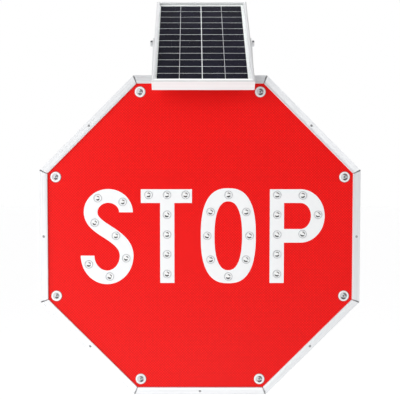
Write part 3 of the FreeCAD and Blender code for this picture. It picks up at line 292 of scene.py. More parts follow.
class Recipe(Nodes):
    """A material under construction: a Principled shader and the nodes that feed it."""

    def __init__(self, name: str) -> None:
        """Starts a material with its Principled shader."""
        self.material = bpy.data.materials.new(name)
        self.material.use_nodes = True
        super().__init__(self.material.node_tree)
        self.shader = self.tree.nodes["Principled BSDF"]
        self.surface = self.tree.nodes["Material Output"].inputs["Surface"]

    def constants(self, **values: float | Colour) -> None:
        """Writes plain values on the shader's own sockets; an underscore stands for a space."""
        for name, value in values.items():
            if isinstance(value, tuple):
                value = (*value, 1.0)
            self.shader.inputs[name.replace("_", " ")].default_value = value

    def coordinates(
        self,
        turn: Triple = (0.0, 0.0, 0.0),
        stretch: Triple = (1.0, 1.0, 1.0),
        place: Triple = (0.0, 0.0, 0.0),
    ) -> NodeSocket:
        """Object coordinates, moved, turned and stretched.

        Args:
            turn: Rotation about X, Y and Z, in radians.
            stretch: Factors along X, Y and Z after the turn.
            place: Offset that is taken off first, in metres.

        Returns:
            The vector socket.
        """
        vector = self.node("ShaderNodeTexCoord").outputs["Object"]
        steps = (
            ("Location", tuple(-x for x in place), 0.0),
            ("Rotation", turn, 0.0),
            ("Scale", stretch, 1.0),
        )
        for name, value, idle in steps:
            if any(x != idle for x in value):
                mapping = self.node("ShaderNodeMapping")
                mapping.inputs[name].default_value = value
                self.feed(mapping.inputs["Vector"], vector)
                vector = mapping.outputs["Vector"]
        return vector

    def noise(self, vector: NodeSocket, scale: float, detail: float = 2.0) -> NodeSocket:
        """Smooth noise from 0 to 1 over a vector."""
        made = self.node("ShaderNodeTexNoise")
        made.inputs["Scale"].default_value = scale
        made.inputs["Detail"].default_value = detail
        self.feed(made.inputs["Vector"], vector)
        return made.outputs["Fac"]

    def stripes(self, value: NodeSocket, pitch: float, share: float) -> NodeSocket:
        """Soft stripes across a value: 1 on a stripe and 0 between.

        Args:
            value: The distance that the stripes repeat over, in metres.
            pitch: Distance from stripe to stripe, in metres.
            share: Part of the pitch that a stripe covers.

        Returns:
            The stripes as a socket.
        """
        cell = self.maths("FRACT", self.maths("DIVIDE", value, pitch))
        away = self.maths("ABSOLUTE", self.maths("SUBTRACT", cell, 0.5))
        return self.remap(away, (share * 0.25, share * 0.6), (1.0, 0.0))

    def relief(self, height: NodeSocket, strength: float, distance: float) -> None:
        """Bumps the surface by a height."""
        made = self.node("ShaderNodeBump")
        made.inputs["Strength"].default_value = strength
        made.inputs["Distance"].default_value = distance
        self.feed(made.inputs["Height"], height)
        self.feed(self.shader.inputs["Normal"], made.outputs["Normal"])

    def colour(self, value: NodeSocket) -> None:
        """Feeds the base colour."""
        self.feed(self.shader.inputs["Base Color"], value)

    def tones(self, value: NodeSocket, first: Colour, second: Colour, span: Point = MIDDLE) -> None:
        """Feeds the base colour from one tone to another over a span of a value."""
        self.colour(self.blend(self.remap(value, span), first, second))

    def gloss(self, value: NodeSocket, low: float, high: float, span: Point = MIDDLE) -> None:
        """Feeds the roughness from one number to another over a span of a value."""
        self.feed(self.shader.inputs["Roughness"], self.remap(value, span, (low, high)))


def scaled(colour: Colour, factor: float) -> Colour:
    """The same hue, lighter or darker."""
    return tuple(min(channel * factor, 1.0) for channel in colour)


@dataclass(frozen=True)
class Finish:
    """A finish by its material's name; each kind adds its own nodes."""

    name: str

    def dress(self, recipe: Recipe) -> None:
        """Adds the nodes of this kind of finish."""
        raise NotImplementedError

    def build(self) -> Material:
        """Makes the material."""
        recipe = Recipe(self.name)
        self.dress(recipe)
        return recipe.material


@dataclass(frozen=True)
class Extrusion(Finish):
    """Satin anodised aluminium with fine drawing lines along its run.

    Attributes:
        tone: Base colour.
        turn: Rotation that lays the run along X, in radians.
        roughness: Middle of the roughness.
        metal: Share of the bare metal look; the rest is the pale anodised skin.
        drawing: Stretch of the noise that draws the lines.
    """

    tone: Colour = (0.87, 0.88, 0.895)
    turn: Triple = (0.0, 0.0, 0.0)
    roughness: float = 0.44
    metal: float = 0.6
    drawing: Triple = (3.0, 700.0, 700.0)

    def dress(self, recipe: Recipe) -> None:
        """Adds the drawing lines and a clouded gloss."""
        lines = recipe.noise(recipe.coordinates(self.turn, self.drawing), scale=1.0, detail=3.0)
        cloud = recipe.noise(recipe.coordinates(), scale=14.0, detail=3.0)
        recipe.constants(Metallic=self.metal)
        recipe.tones(lines, scaled(self.tone, 0.92), self.tone)
        recipe.gloss(recipe.mean(lines, cloud), self.roughness - 0.07, self.roughness + 0.08)
        recipe.relief(lines, strength=0.12, distance=0.2 * MM)


@dataclass(frozen=True)
class FrameExtrusion(Extrusion):
    """Extrusion of the octagon, darker along the seams of its mitred corners.

    Attributes:
        seam_tone: Colour along a seam.
        radius: Mean distance of the band from the sign's middle, in metres.
        reach: Distances from the middle of the seam where the darkening begins to fade and ends, in metres.
        inner: Radii between which the darkening gets stronger towards the outer edge, in metres.
        faint: Strength of the darkening at the inner edge.
    """

    tone: Colour = (0.85, 0.86, 0.875)
    seam_tone: Colour = (0.05, 0.05, 0.055)
    radius: float = 318.5 * MM
    reach: Point = (0.5 * MM, 1.8 * MM)
    inner: Point = (310.0 * MM, 325.0 * MM)
    faint: float = 0.3

    def dress(self, recipe: Recipe) -> None:
        """Adds the darker seams to the extrusion."""
        super().dress(recipe)
        side = math.tau / 8
        across, _, up = recipe.parts(recipe.coordinates())
        turns = recipe.maths("DIVIDE", recipe.maths("ARCTAN2", up, across), side)
        eighth = recipe.maths("FRACT", recipe.maths("ADD", turns, 8.0))
        away = recipe.maths("ABSOLUTE", recipe.maths("SUBTRACT", eighth, 0.5))
        away = recipe.maths("MULTIPLY", away, side * self.radius)
        squares = [recipe.maths("MULTIPLY", part, part) for part in (across, up)]
        distance = recipe.maths("SQRT", recipe.maths("ADD", *squares))
        outward = recipe.remap(distance, self.inner, (self.faint, 1.0))
        # Darker along each mitre seam, more so towards the outer edge of the band
        seam_dark = recipe.maths("MULTIPLY", recipe.remap(away, self.reach, (1.0, 0.0)), outward)
        clean = recipe.shader.inputs["Base Color"].links[0].from_socket
        recipe.colour(recipe.blend(seam_dark, clean, self.seam_tone))


@dataclass(frozen=True)
class PanelExtrusion(Extrusion):
    """Extrusion of the leaning panel, with painted shade on the sloped arris round its front.

    Attributes:
        arris: Colour of the painted shade band at the low end.
        crest: Colour of the painted shade band at the high end, darker than the low one.
        upright: True for the two side rails, whose arris lies at the left and right edges.
        arris_width: Widths of the painted shade band at the low end and at the high end, in metres.
        arris_depth: Depth of the arris, in metres.
    """

    arris: Colour = (0.62, 0.625, 0.63)
    crest: Colour = (0.48, 0.485, 0.49)
    upright: bool = False
    arris_width: Point = (2.9 * MM, 6.3 * MM)
    arris_depth: float = 1.6 * MM

    def dress(self, recipe: Recipe) -> None:
        """Adds the painted shade bands to the extrusion."""
        super().dress(recipe)
        lean = Lean.read()
        ends, axis = (("left", "right"), 0) if self.upright else (("bottom", "top"), 2)
        low, high = (solids_of(f"panel_rail_{end}", lean.seat)[0] for end in ends)
        across, depth, up = recipe.parts(recipe.coordinates((lean.tilt, 0.0, 0.0), place=tuple(lean.pivot)))
        along = across if self.upright else up
        near = low.low[axis] + self.arris_width[0]
        far = high.high[axis] - self.arris_width[1]
        # Painted shade: a darker colour in a band along the arris at each end of the rail
        shallow = recipe.maths("LESS_THAN", depth, low.low.y + self.arris_depth)
        lower = recipe.maths("MULTIPLY", recipe.maths("LESS_THAN", along, near), shallow)
        upper = recipe.maths("MULTIPLY", recipe.maths("GREATER_THAN", along, far), shallow)
        clean = recipe.shader.inputs["Base Color"].links[0].from_socket
        recipe.colour(recipe.blend(upper, recipe.blend(lower, clean, self.arris), self.crest))


@dataclass(frozen=True)
class MillSheet(Finish):
    """Rolled aluminium sheet with long faint rolling marks and hand marks."""

    tone: Colour = (0.60, 0.605, 0.615)
    metal: float = 1.0
    rolling: Triple = (260.0, 260.0, 6.0)

    def dress(self, recipe: Recipe) -> None:
        """Adds the rolling marks and the smears."""
        rolled = recipe.noise(recipe.coordinates(stretch=self.rolling), scale=1.0, detail=4.0)
        smears = recipe.noise(recipe.coordinates(), scale=9.0, detail=4.0)
        recipe.constants(Metallic=self.metal)
        recipe.tones(smears, scaled(self.tone, 0.9), self.tone, span=(0.35, 0.7))
        recipe.gloss(rolled, 0.34, 0.5)
        recipe.relief(rolled, strength=0.10, distance=0.2 * MM)


@dataclass(frozen=True)
class PrismFilm(Finish):
    """Reflective sheeting: a coloured face with a sealed lattice of small cells under a clear coat.

    Attributes:
        tone: Colour of a cell.
        seal: Colour of the seal lines between the cells.
        pitch: Distance from seal line to seal line, in metres.
        depth: How much the tone changes from cell to cell, from 0 to 1.
        line: Share of the pitch that a seal line covers.
    """

    tone: Colour
    seal: Colour
    pitch: float = 3.6 * MM
    depth: float = 0.12
    line: float = 0.45

    def dress(self, recipe: Recipe) -> None:
        """Adds the cells, which differ a little, and the lattice of seal lines."""
        across, _, up = recipe.parts(recipe.coordinates((0.0, math.radians(45), 0.0)))
        lines = [recipe.stripes(way, self.pitch, self.line) for way in (across, up)]
        lattice = recipe.maths("MAXIMUM", *lines)
        cell = recipe.node("ShaderNodeCombineXYZ")
        for socket, way in zip(cell.inputs, (across, up)):
            recipe.feed(socket, recipe.maths("FLOOR", recipe.maths("DIVIDE", way, self.pitch)))
        spark = recipe.node("ShaderNodeTexWhiteNoise", noise_dimensions="3D")
        recipe.feed(spark.inputs["Vector"], cell.outputs[0])
        drift = recipe.noise(recipe.coordinates(), scale=5.0, detail=3.0)
        worn = recipe.remap(recipe.mean(spark.outputs["Value"], drift), (0.25, 0.75))
        face = recipe.blend(worn, scaled(self.tone, 1.0 - self.depth), self.tone)
        recipe.colour(recipe.blend(lattice, face, self.seal))
        recipe.gloss(drift, 0.36, 0.46)
        recipe.constants(Specular_IOR_Level=0.16)
        recipe.relief(lattice, strength=0.15, distance=0.1 * MM)


@dataclass(frozen=True)
class Clear(Finish):
    """Clear hard material that the light of lamps and surroundings passes straight through."""

    tint: Colour = (0.99, 0.998, 0.997)
    index: float = 1.49
    haze: float = 0.02

    def dress(self, recipe: Recipe) -> None:
        """Adds faint smudges and the way through for shadow and diffuse rays."""
        smudge = recipe.noise(recipe.coordinates(), scale=60.0, detail=3.0)
        recipe.constants(Base_Color=self.tint, Transmission_Weight=1.0, IOR=self.index)
        recipe.gloss(smudge, self.haze, self.haze * 2.5, span=(0.4, 0.7))
        through = recipe.node("ShaderNodeBsdfTransparent")
        through.inputs["Color"].default_value = (*self.tint, 1.0)
        light = recipe.rays("Is Shadow Ray", "Is Diffuse Ray")
        recipe.feed(recipe.surface, recipe.choose(light, recipe.shader, through))


@dataclass(frozen=True)
class Moulded(Finish):
    """Moulded plastic with a fine grain."""

    tone: Colour
    roughness: float = 0.4
    grain: float = 900.0

    def dress(self, recipe: Recipe) -> None:
        """Adds the grain and a faint cloud."""
        fine = recipe.noise(recipe.coordinates(), scale=self.grain)
        cloud = recipe.noise(recipe.coordinates(), scale=30.0)
        recipe.colour(recipe.blend(cloud, scaled(self.tone, 0.92), scaled(self.tone, 1.06)))
        recipe.gloss(fine, self.roughness - 0.06, self.roughness + 0.08)
        recipe.relief(fine, strength=0.08, distance=0.1 * MM)


@dataclass(frozen=True)
class Plated(Finish):
    """Plated or turned metal with a faint clouded bloom."""

    tone: Colour
    bloom: Colour
    roughness: float = 0.3
    metal: float = 1.0

    def dress(self, recipe: Recipe) -> None:
        """Adds the bloom."""
        cloud = recipe.noise(recipe.coordinates(), scale=220.0, detail=3.0)
        recipe.constants(Metallic=self.metal)
        recipe.tones(cloud, self.tone, self.bloom, span=(0.35, 0.65))
        recipe.gloss(cloud, self.roughness - 0.08, self.roughness + 0.1)
        recipe.relief(cloud, strength=0.05, distance=0.1 * MM)


@dataclass(frozen=True)
class PrintedBoard(Finish):
    """Circuit board: solder mask over a grid of tracks."""

    mask: Colour
    track: Colour
    pitch: float = 3.2 * MM
    line: float = 0.4

    def dress(self, recipe: Recipe) -> None:
        """Adds tracks that run across or up by turns."""
        across, _, up = recipe.parts(recipe.coordinates())
        wander = recipe.noise(recipe.coordinates(), scale=120.0, detail=1.0)
        choice = recipe.maths("GREATER_THAN", wander, 0.5)
        lanes = recipe.maths("MULTIPLY", recipe.stripes(across, self.pitch, self.line), choice)
        others = recipe.maths("SUBTRACT", 1.0, choice)
        rows = recipe.maths("MULTIPLY", recipe.stripes(up, self.pitch, self.line), others)
        tracks = recipe.maths("ADD", lanes, rows)
        recipe.colour(recipe.blend(tracks, self.mask, self.track))
        recipe.gloss(wander, 0.25, 0.4)
        recipe.relief(tracks, strength=0.2, distance=0.05 * MM)


@dataclass(frozen=True)
class SiliconCell(Finish):
    """Blue black cell with crystal grains and fine finger lines across the string.

    Attributes:
        tilt: Angle that the panel leans back, in radians.
        dark: Colour of the darkest grains.
        light: Colour of the lightest grains.
        finger: Colour of the finger lines.
        finger_pitch: Distance from finger to finger, in metres.
        finger_share: Share of the pitch that a finger covers.
    """

    tilt: float
    dark: Colour = (0.0035, 0.003, 0.007)
    light: Colour = (0.008, 0.007, 0.017)
    finger: Colour = (0.030, 0.028, 0.045)
    finger_pitch: float = 2.1 * MM
    finger_share: float = 0.1

    def dress(self, recipe: Recipe) -> None:
        """Adds the grains and the fingers."""
        upright = recipe.coordinates((self.tilt, 0.0, 0.0))
        _, _, up = recipe.parts(upright)
        grains = recipe.node("ShaderNodeTexVoronoi", feature="F1")
        grains.inputs["Scale"].default_value = 60.0
        recipe.feed(grains.inputs["Vector"], upright)
        grain, _, _ = recipe.parts(grains.outputs["Color"])
        cloud = recipe.noise(upright, scale=9.0, detail=1.0)
        tone = recipe.remap(recipe.mean(grain, cloud, 0.25), (0.3, 0.75))
        fingers = recipe.stripes(up, self.finger_pitch, self.finger_share)
        body = recipe.blend(tone, self.dark, self.light)
        recipe.colour(recipe.blend(recipe.maths("MULTIPLY", fingers, 0.4), body, self.finger))
        recipe.gloss(grain, 0.3, 0.4, span=UNIT)
        recipe.constants(Specular_IOR_Level=0.12)
        recipe.relief(fingers, strength=0.1, distance=0.03 * MM)


class Finishes:
    """Every finish of the sign, built once and found by the frame's slot names."""

    RED = (0.97, 0.0090, 0.0080)
    SEAL_RED = (0.66, 0.0065, 0.0060)
    WHITE = (0.85, 0.855, 0.86)
    SEAL_WHITE = (0.82, 0.83, 0.84)

    def __init__(self, tilt: float) -> None:
        """Builds the finishes that aren't turned to a piece's run.

        Args:
            tilt: Angle that the panel leans back, in radians.
        """
        self.tilt = tilt
        kinds = {
            "sheet_aluminium": MillSheet("mill_sheet"),
            "bracket_aluminium": MillSheet("bracket_sheet", (0.84, 0.845, 0.85), metal=0.4),
            "red_sheeting": PrismFilm("red_film", self.RED, self.SEAL_RED),
            "clear_lens": Clear("clear_lens"),
            "white_plastic": Moulded("white_gloss_plastic", (0.86, 0.86, 0.86), 0.25),
            "circuit_board": PrintedBoard("green_board", (0.02, 0.13, 0.05), (0.05, 0.24, 0.10)),
            "led_package": Moulded("light_source_package", (0.90, 0.89, 0.86), 0.25),
            "brass": Plated("turned_brass", (0.74, 0.56, 0.25), (0.62, 0.46, 0.2)),
            "white_support": Moulded("white_support", (0.8, 0.8, 0.78), 0.5),
            "battery_wrap": Moulded("battery_wrap", (0.02, 0.09, 0.30), 0.3, grain=200.0),
            "zinc_steel": Plated("zinc_steel", (0.62, 0.63, 0.64), (0.52, 0.53, 0.55)),
            "black_component": Moulded("black_component", (0.03, 0.03, 0.032), 0.45),
            "black_plastic": Moulded("black_nylon", (0.022, 0.022, 0.024), 0.42),
            "panel_glass": Clear("panel_glass", (0.975, 0.985, 0.98), index=1.45, haze=0.01),
            "solar_cell": SiliconCell("solar_cell", tilt),
            "cell_ribbon": Extrusion("tinned_ribbon", (0.78, 0.78, 0.80), (tilt, 0.0, 0.0), 0.3),
            "white_backsheet": Moulded("white_backsheet", (0.88, 0.885, 0.89), 0.55, grain=1500.0),
        }
        self.by_slot: dict[str, Material] = {slot: kind.build() for slot, kind in kinds.items()}
        self.white_film = PrismFilm("white_film", self.WHITE, self.SEAL_WHITE, depth=0.03).build()
        self.white_board = PrintedBoard("white_board", (0.75, 0.76, 0.76), (0.66, 0.67, 0.68)).build()
        # Grey of the rim round the letter lenses, painted shade
        self.rim = Moulded("grey_rim_painted_shade", (0.46, 0.47, 0.48), 0.3).build()
        # Grey of the ring round the corner lenses, painted shade
        self.shade_ring = Moulded("grey_painted_shade_ring", (0.30, 0.25, 0.25), 0.6).build()
        self.diffuser = Moulded("milky_diffuser", (0.90, 0.90, 0.89), 0.5).build()
        self.silvered = Moulded("silvered_cup", (0.66, 0.67, 0.69), 0.3).build()
        # Painted reflections in the lenses: a dark and a grey crescent; the grey one also colours the dies
        self.painted_dark = Moulded("painted_dark_reflection", (0.045, 0.045, 0.047), 0.5).build()
        self.grey_die_and_reflection = Moulded("grey_die_and_painted_reflection", (0.13, 0.13, 0.135), 0.45).build()
        # A darker copy of the zinc plating for the face clip screws, painted shade over the whole screw
        self.shaded_zinc = Plated("shaded_zinc", (0.44, 0.44, 0.45), (0.34, 0.34, 0.345), 0.38, 0.4).build()

    def rail(self, index: int) -> Material:
        """Extrusion finish for one side of the octagon, counted clockwise from the bottom."""
        angle = -math.tau / 8 * index
        return FrameExtrusion(f"frame_extrusion_{index}", turn=(0.0, angle, 0.0)).build()

    def panel_rail(self, upright: bool) -> Material:
        """Extrusion finish for the side rails of the leaning panel, or for its cross rails. They are lit
        and shaded copies of one extrusion: the cross rails are paler and nearly matt, painted light, and
        the side rails darker and more metallic, painted shade.
        """
        if upright:
            # Painted shade on the side rails' arris, one colour at both sides
            side_shade = (0.66, 0.665, 0.67)
            return PanelExtrusion(
                "panel_extrusion_side_shaded", (0.86, 0.865, 0.88), (self.tilt, math.radians(90), 0.0), 0.38, 0.5,
                arris=side_shade, crest=side_shade, upright=True, arris_width=(1.0 * MM, 2.0 * MM),
            ).build()
        # Painted light: the cross rails' copy is paler and nearly matt so that their lips show white
        return PanelExtrusion(
            "panel_extrusion_cross_lit", (0.90, 0.91, 0.915), (self.tilt, 0.0, 0.0), 0.42, 0.04
        ).build()


# Making pieces


def in_scene(name: str, data: ID) -> Object:
    """Makes an object of some data and puts it in the scene."""
    made = bpy.data.objects.new(name, data)
    bpy.context.scene.collection.objects.link(made)
    return made


def settled(mesh: BMesh, name: str) -> Mesh:
    """Writes a mesh to new mesh data and frees it."""
    data = bpy.data.meshes.new(name)
    mesh.to_mesh(data)
    mesh.free()
    return data


def evaluated(holder: Object) -> BMesh:
    """Mesh of an object with its outline filled and its modifiers applied."""
    final = holder.evaluated_get(bpy.context.evaluated_depsgraph_get())
    mesh = bmesh.new()
    mesh.from_mesh(final.to_mesh())
    final.to_mesh_clear()
    return mesh


def finish_piece(
    mesh: BMesh, name: str, body: Body, material: Material, smooth: float | None = None
) -> Object:
    """Turns a finished mesh into a piece that rides on its body.

    Args:
        mesh: The mesh, in the frame's coordinates. It is freed here.
        name: Name of the piece.
        body: Body that carries it.
        material: Its finish.
        smooth: Angle in degrees up to which edges are shaded smooth, or None for flat faces.

    Returns:
        The new object.
    """
    bmesh.ops.remove_doubles(mesh, verts=mesh.verts, dist=MERGE)
    bmesh.ops.recalc_face_normals(mesh, faces=mesh.faces)
    if smooth is not None:
        limit = math.radians(smooth)
        for face in mesh.faces:
            face.smooth = True
        for edge in mesh.edges:
            edge.smooth = len(edge.link_faces) == 2 and edge.calc_face_angle(0.0) < limit
    piece = in_scene(name, settled(mesh, name))
    piece.data.materials.append(material)
    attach(piece, body.value)
    LOG.info("%s: %d faces on %s", name, len(piece.data.polygons), body.value)
    return piece


def lathe(profile: Sequence[Point], segments: int) -> BMesh:
    """Turns a closed profile about the Y axis.

    Args:
        profile: Points as (radius, depth along +Y), in millimetres, in order round the section.
        segments: Faces round the axis.

    Returns:
        The closed shape, in metres.
    """
    mesh = bmesh.new()
    verts = [mesh.verts.new((radius * MM, depth * MM, 0.0)) for radius, depth in profile]
    edges = [mesh.edges.new((a, b)) for a, b in zip(verts, verts[1:] + verts[:1])]
    edges = [e for e in edges if max(abs(v.co.x) for v in e.verts) > MERGE]
    bmesh.ops.spin(
        mesh, geom=verts + edges, cent=(0, 0, 0), axis=(0, 1, 0), dvec=(0, 0, 0),
        angle=math.tau, steps=segments, use_merge=True,
    )
    bmesh.ops.remove_doubles(mesh, verts=mesh.verts, dist=MERGE)
    loose = [e for e in mesh.edges if not e.link_faces]
    bmesh.ops.delete(mesh, geom=loose, context="EDGES")
    bmesh.ops.recalc_face_normals(mesh, faces=mesh.faces)
    return mesh


def prism(outline: Sequence[Point], start: float, end: float, taper: float = 1.0) -> BMesh:
    """Extrudes an outline along Y.

    Args:
        outline: Points as (x, z) in millimetres.
        start: First depth in millimetres.
        end: Last depth in millimetres.
        taper: Size of the far end, as a share of the near one.

    Returns:
        The closed shape, in metres.
    """
    mesh = bmesh.new()
    near = mesh.faces.new([mesh.verts.new((x * MM, start * MM, z * MM)) for x, z in outline])
    far = bmesh.ops.extrude_face_region(mesh, geom=[near], use_keep_orig=True)["geom"]
    moved = [item for item in far if isinstance(item, BMVert)]
    bmesh.ops.translate(mesh, verts=moved, vec=(0, (end - start) * MM, 0))
    bmesh.ops.scale(mesh, verts=moved, vec=(taper, 1, taper))
    bmesh.ops.recalc_face_normals(mesh, faces=mesh.faces)
    return mesh


def flat_sheet(loops: Sequence[Sequence[Point]], thickness: float) -> BMesh:
    """Fills closed outlines in the XY plane, with holes where they nest.

    Args:
        loops: Outlines in millimetres.
        thickness: Thickness of the sheet in millimetres, half to each side.

    Returns:
        The sheet, in metres.
    """
    curve = bpy.data.curves.new("sheet", "CURVE")
    curve.dimensions = "2D"
    curve.fill_mode = "BOTH"
    curve.extrude = thickness / 2 * MM
    for loop in loops:
        spline = curve.splines.new("POLY")
        spline.points.add(len(loop) - 1)
        for point, (x, y) in zip(spline.points, loop):
            point.co = (x * MM, y * MM, 0.0, 1.0)
        spline.use_cyclic_u = True
    holder = in_scene("sheet", curve)
    mesh = evaluated(holder)
    bpy.data.objects.remove(holder)
    bpy.data.curves.remove(curve)
    return mesh


def carved(shape: BMesh, tool: BMesh, operation: str) -> BMesh:
    """Cuts a shape with a tool, joins both, or keeps what both share.

    Args:
        shape: The shape. It is freed here.
        tool: The tool. It is freed here.
        operation: DIFFERENCE, UNION or INTERSECT.

    Returns:
        The new shape.
    """
    holders = []
    for mesh in (shape, tool):
        bmesh.ops.recalc_face_normals(mesh, faces=mesh.faces)
        holders.append(in_scene("carving", settled(mesh, "carving")))
    cut = holders[0].modifiers.new("cut", "BOOLEAN")
    cut.operation = operation
    cut.solver = "EXACT"
    cut.object = holders[1]
    result = evaluated(holders[0])
    for holder in holders:
        data = holder.data
        bpy.data.objects.remove(holder)
        bpy.data.meshes.remove(data)
    return result


def stamp(shape: BMesh, places: Iterable[Matrix]) -> BMesh:
    """Copies a shape to each place.

    Args:
        shape: The shape about the origin. It is freed here.
        places: Where each copy goes.

    Returns:
        One mesh that holds all copies.
    """
    source = settled(shape, "stamp")
    whole = bmesh.new()
    for place in places:
        before = len(whole.verts)
        whole.from_mesh(source)
        whole.verts.ensure_lookup_table()
        bmesh.ops.transform(whole, matrix=place, verts=whole.verts[before:])
    bpy.data.meshes.remove(source)
    return whole


def pointing(place: Vector, way: Facing) -> Matrix:
    """Places a shape drawn with its head along -Y so that the head looks a given way.

    Args:
        place: Where the top of the head goes.
        way: Where it looks.

    Returns:
        The matrix.
    """
    turn = Vector((0, -1, 0)).rotation_difference(Vector(way.value)).to_matrix().to_4x4()
    if way is Facing.REAR:
        turn = Matrix.Rotation(math.pi, 4, "Z")
    return Matrix.Translation(place) @ turn


def head_place(solid: Solid, way: Facing) -> Vector:
    """Top of a fastener's head, from the box of its solid."""
    return solid.centre + Vector(way.value[axis] * solid.size[axis] / 2 for axis in range(3))


def take_over(
    shape: BMesh, node: str, seat: Matrix, way: Facing | None, body: Body, material: Material,
    smooth: float,
) -> Object:
    """Puts a copy of a shape in the place of each solid of a node.

    Args:
        shape: The shape, its head along -Y with the top of the head at depth 0. It is freed here.
        node: Name of the node, which the piece replaces.
        seat: Matrix that carries the body from its own upright frame to its place.
        way: Where the heads look, or None for out to the left and right.
        body: Body that carries the piece.
        material: Its finish.
        smooth: Angle in degrees up to which edges are shaded smooth.

    Returns:
        The new piece.
    """
    places = []
    for solid in solids_of(node, seat):
        out = way or (Facing.RIGHT if solid.centre.x > 0 else Facing.LEFT)
        places.append(seat @ pointing(head_place(solid, out), out))
    piece = finish_piece(stamp(shape, places), f"{node}_made", body, material, smooth)
    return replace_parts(piece, node)


# Outlines


def arc(centre: Point, radii: Point, start: float, end: float, steps: int) -> list[Point]:
    """Points along an elliptic arc.

    Args:
        centre: Middle of the ellipse.
        radii: Half sizes along the two axes.
        start: First angle in degrees.
        end: Last angle in degrees.
        steps: Number of chords.

    Returns:
        The points, both ends included.
    """
    angles = [math.radians(start + (end - start) * k / steps) for k in range(steps + 1)]
    return [(centre[0] + radii[0] * math.cos(a), centre[1] + radii[1] * math.sin(a)) for a in angles]


def superellipse(centre: Point, radii: Point, power: float, steps: int) -> list[Point]:
    """Points round a superellipse.

    Args:
        centre: Its middle.
        radii: Half width and half height.
        power: 2 for an ellipse, more for squarer shoulders.
        steps: Number of points.

    Returns:
        The closed outline without its first point repeated.
    """
    points = []
    for k in range(steps):
        angle = math.tau * k / steps
        across = math.copysign(abs(math.cos(angle)) ** (2 / power), math.cos(angle))
        up = math.copysign(abs(math.sin(angle)) ** (2 / power), math.sin(angle))
        points.append((centre[0] + radii[0] * across, centre[1] + radii[1] * up))
    return points


def round_outline(radius: float, count: int, first: float = 0.0, centre: Point = (0.0, 0.0)) -> list[Point]:
    """Points of a regular outline about its centre, from a first angle in degrees."""
    angles = [math.radians(first + 360 * k / count) for k in range(count)]
    return [(centre[0] + radius * math.cos(a), centre[1] + radius * math.sin(a)) for a in angles]


def hexagon_outline(flats: float) -> list[Point]:
    """Corners of a hexagon by its size across flats."""
    return round_outline(flats / math.sqrt(3), 6, 30.0)


def dome(radius: float, height: float, foot: float, steps: int) -> list[Point]:
    """Section of a dome, from its crown on the axis to its edge.

    Args:
        radius: Radius at the edge.
        height: Height of the crown over the edge.
        foot: Depth of the edge.
        steps: Number of chords.

    Returns:
        Points as (radius, depth).
    """
    ball = (radius ** 2 + height ** 2) / (2 * height)
    lean = math.degrees(math.acos((ball - height) / ball))
    crown = foot - height
    return [(0.0, crown)] + arc((0.0, crown + ball), (ball, ball), -90, -90 + lean, steps)[1:]


def hollow(radius: float, rear: float, depth: float) -> list[Point]:
    """Section of a rounded hollow, from its edge at the rear to its bottom on the axis."""
    return arc((0.0, rear), (radius, depth), 0, -90, 6)[:-1] + [(0.0, rear - depth)]


def thread(
    radius: float, start: float, end: float, pitch: float, root: float = 0.88, chamfer: float | None = None
) -> list[Point]:
    """Section of a threaded rod's side.

    Args:
        radius: Radius at the crests.
        start: Depth where the thread starts.
        end: Depth of the rod's end.
        pitch: Distance from crest to crest.
        root: Radius between the crests, as a share of the radius.
        chamfer: Size of the chamfer at the end, or None for half the pitch.

    Returns:
        Points as (radius, depth), the chamfer included.
    """
    chamfer = pitch / 2 if chamfer is None else chamfer
    points = [(radius, start)]
    depth = start + pitch
    while depth < end - pitch:
        points += [(radius * root, depth - pitch / 2), (radius, depth)]
        depth += pitch
    return points + [(radius, end - chamfer), (radius - chamfer, end)]


# Legend


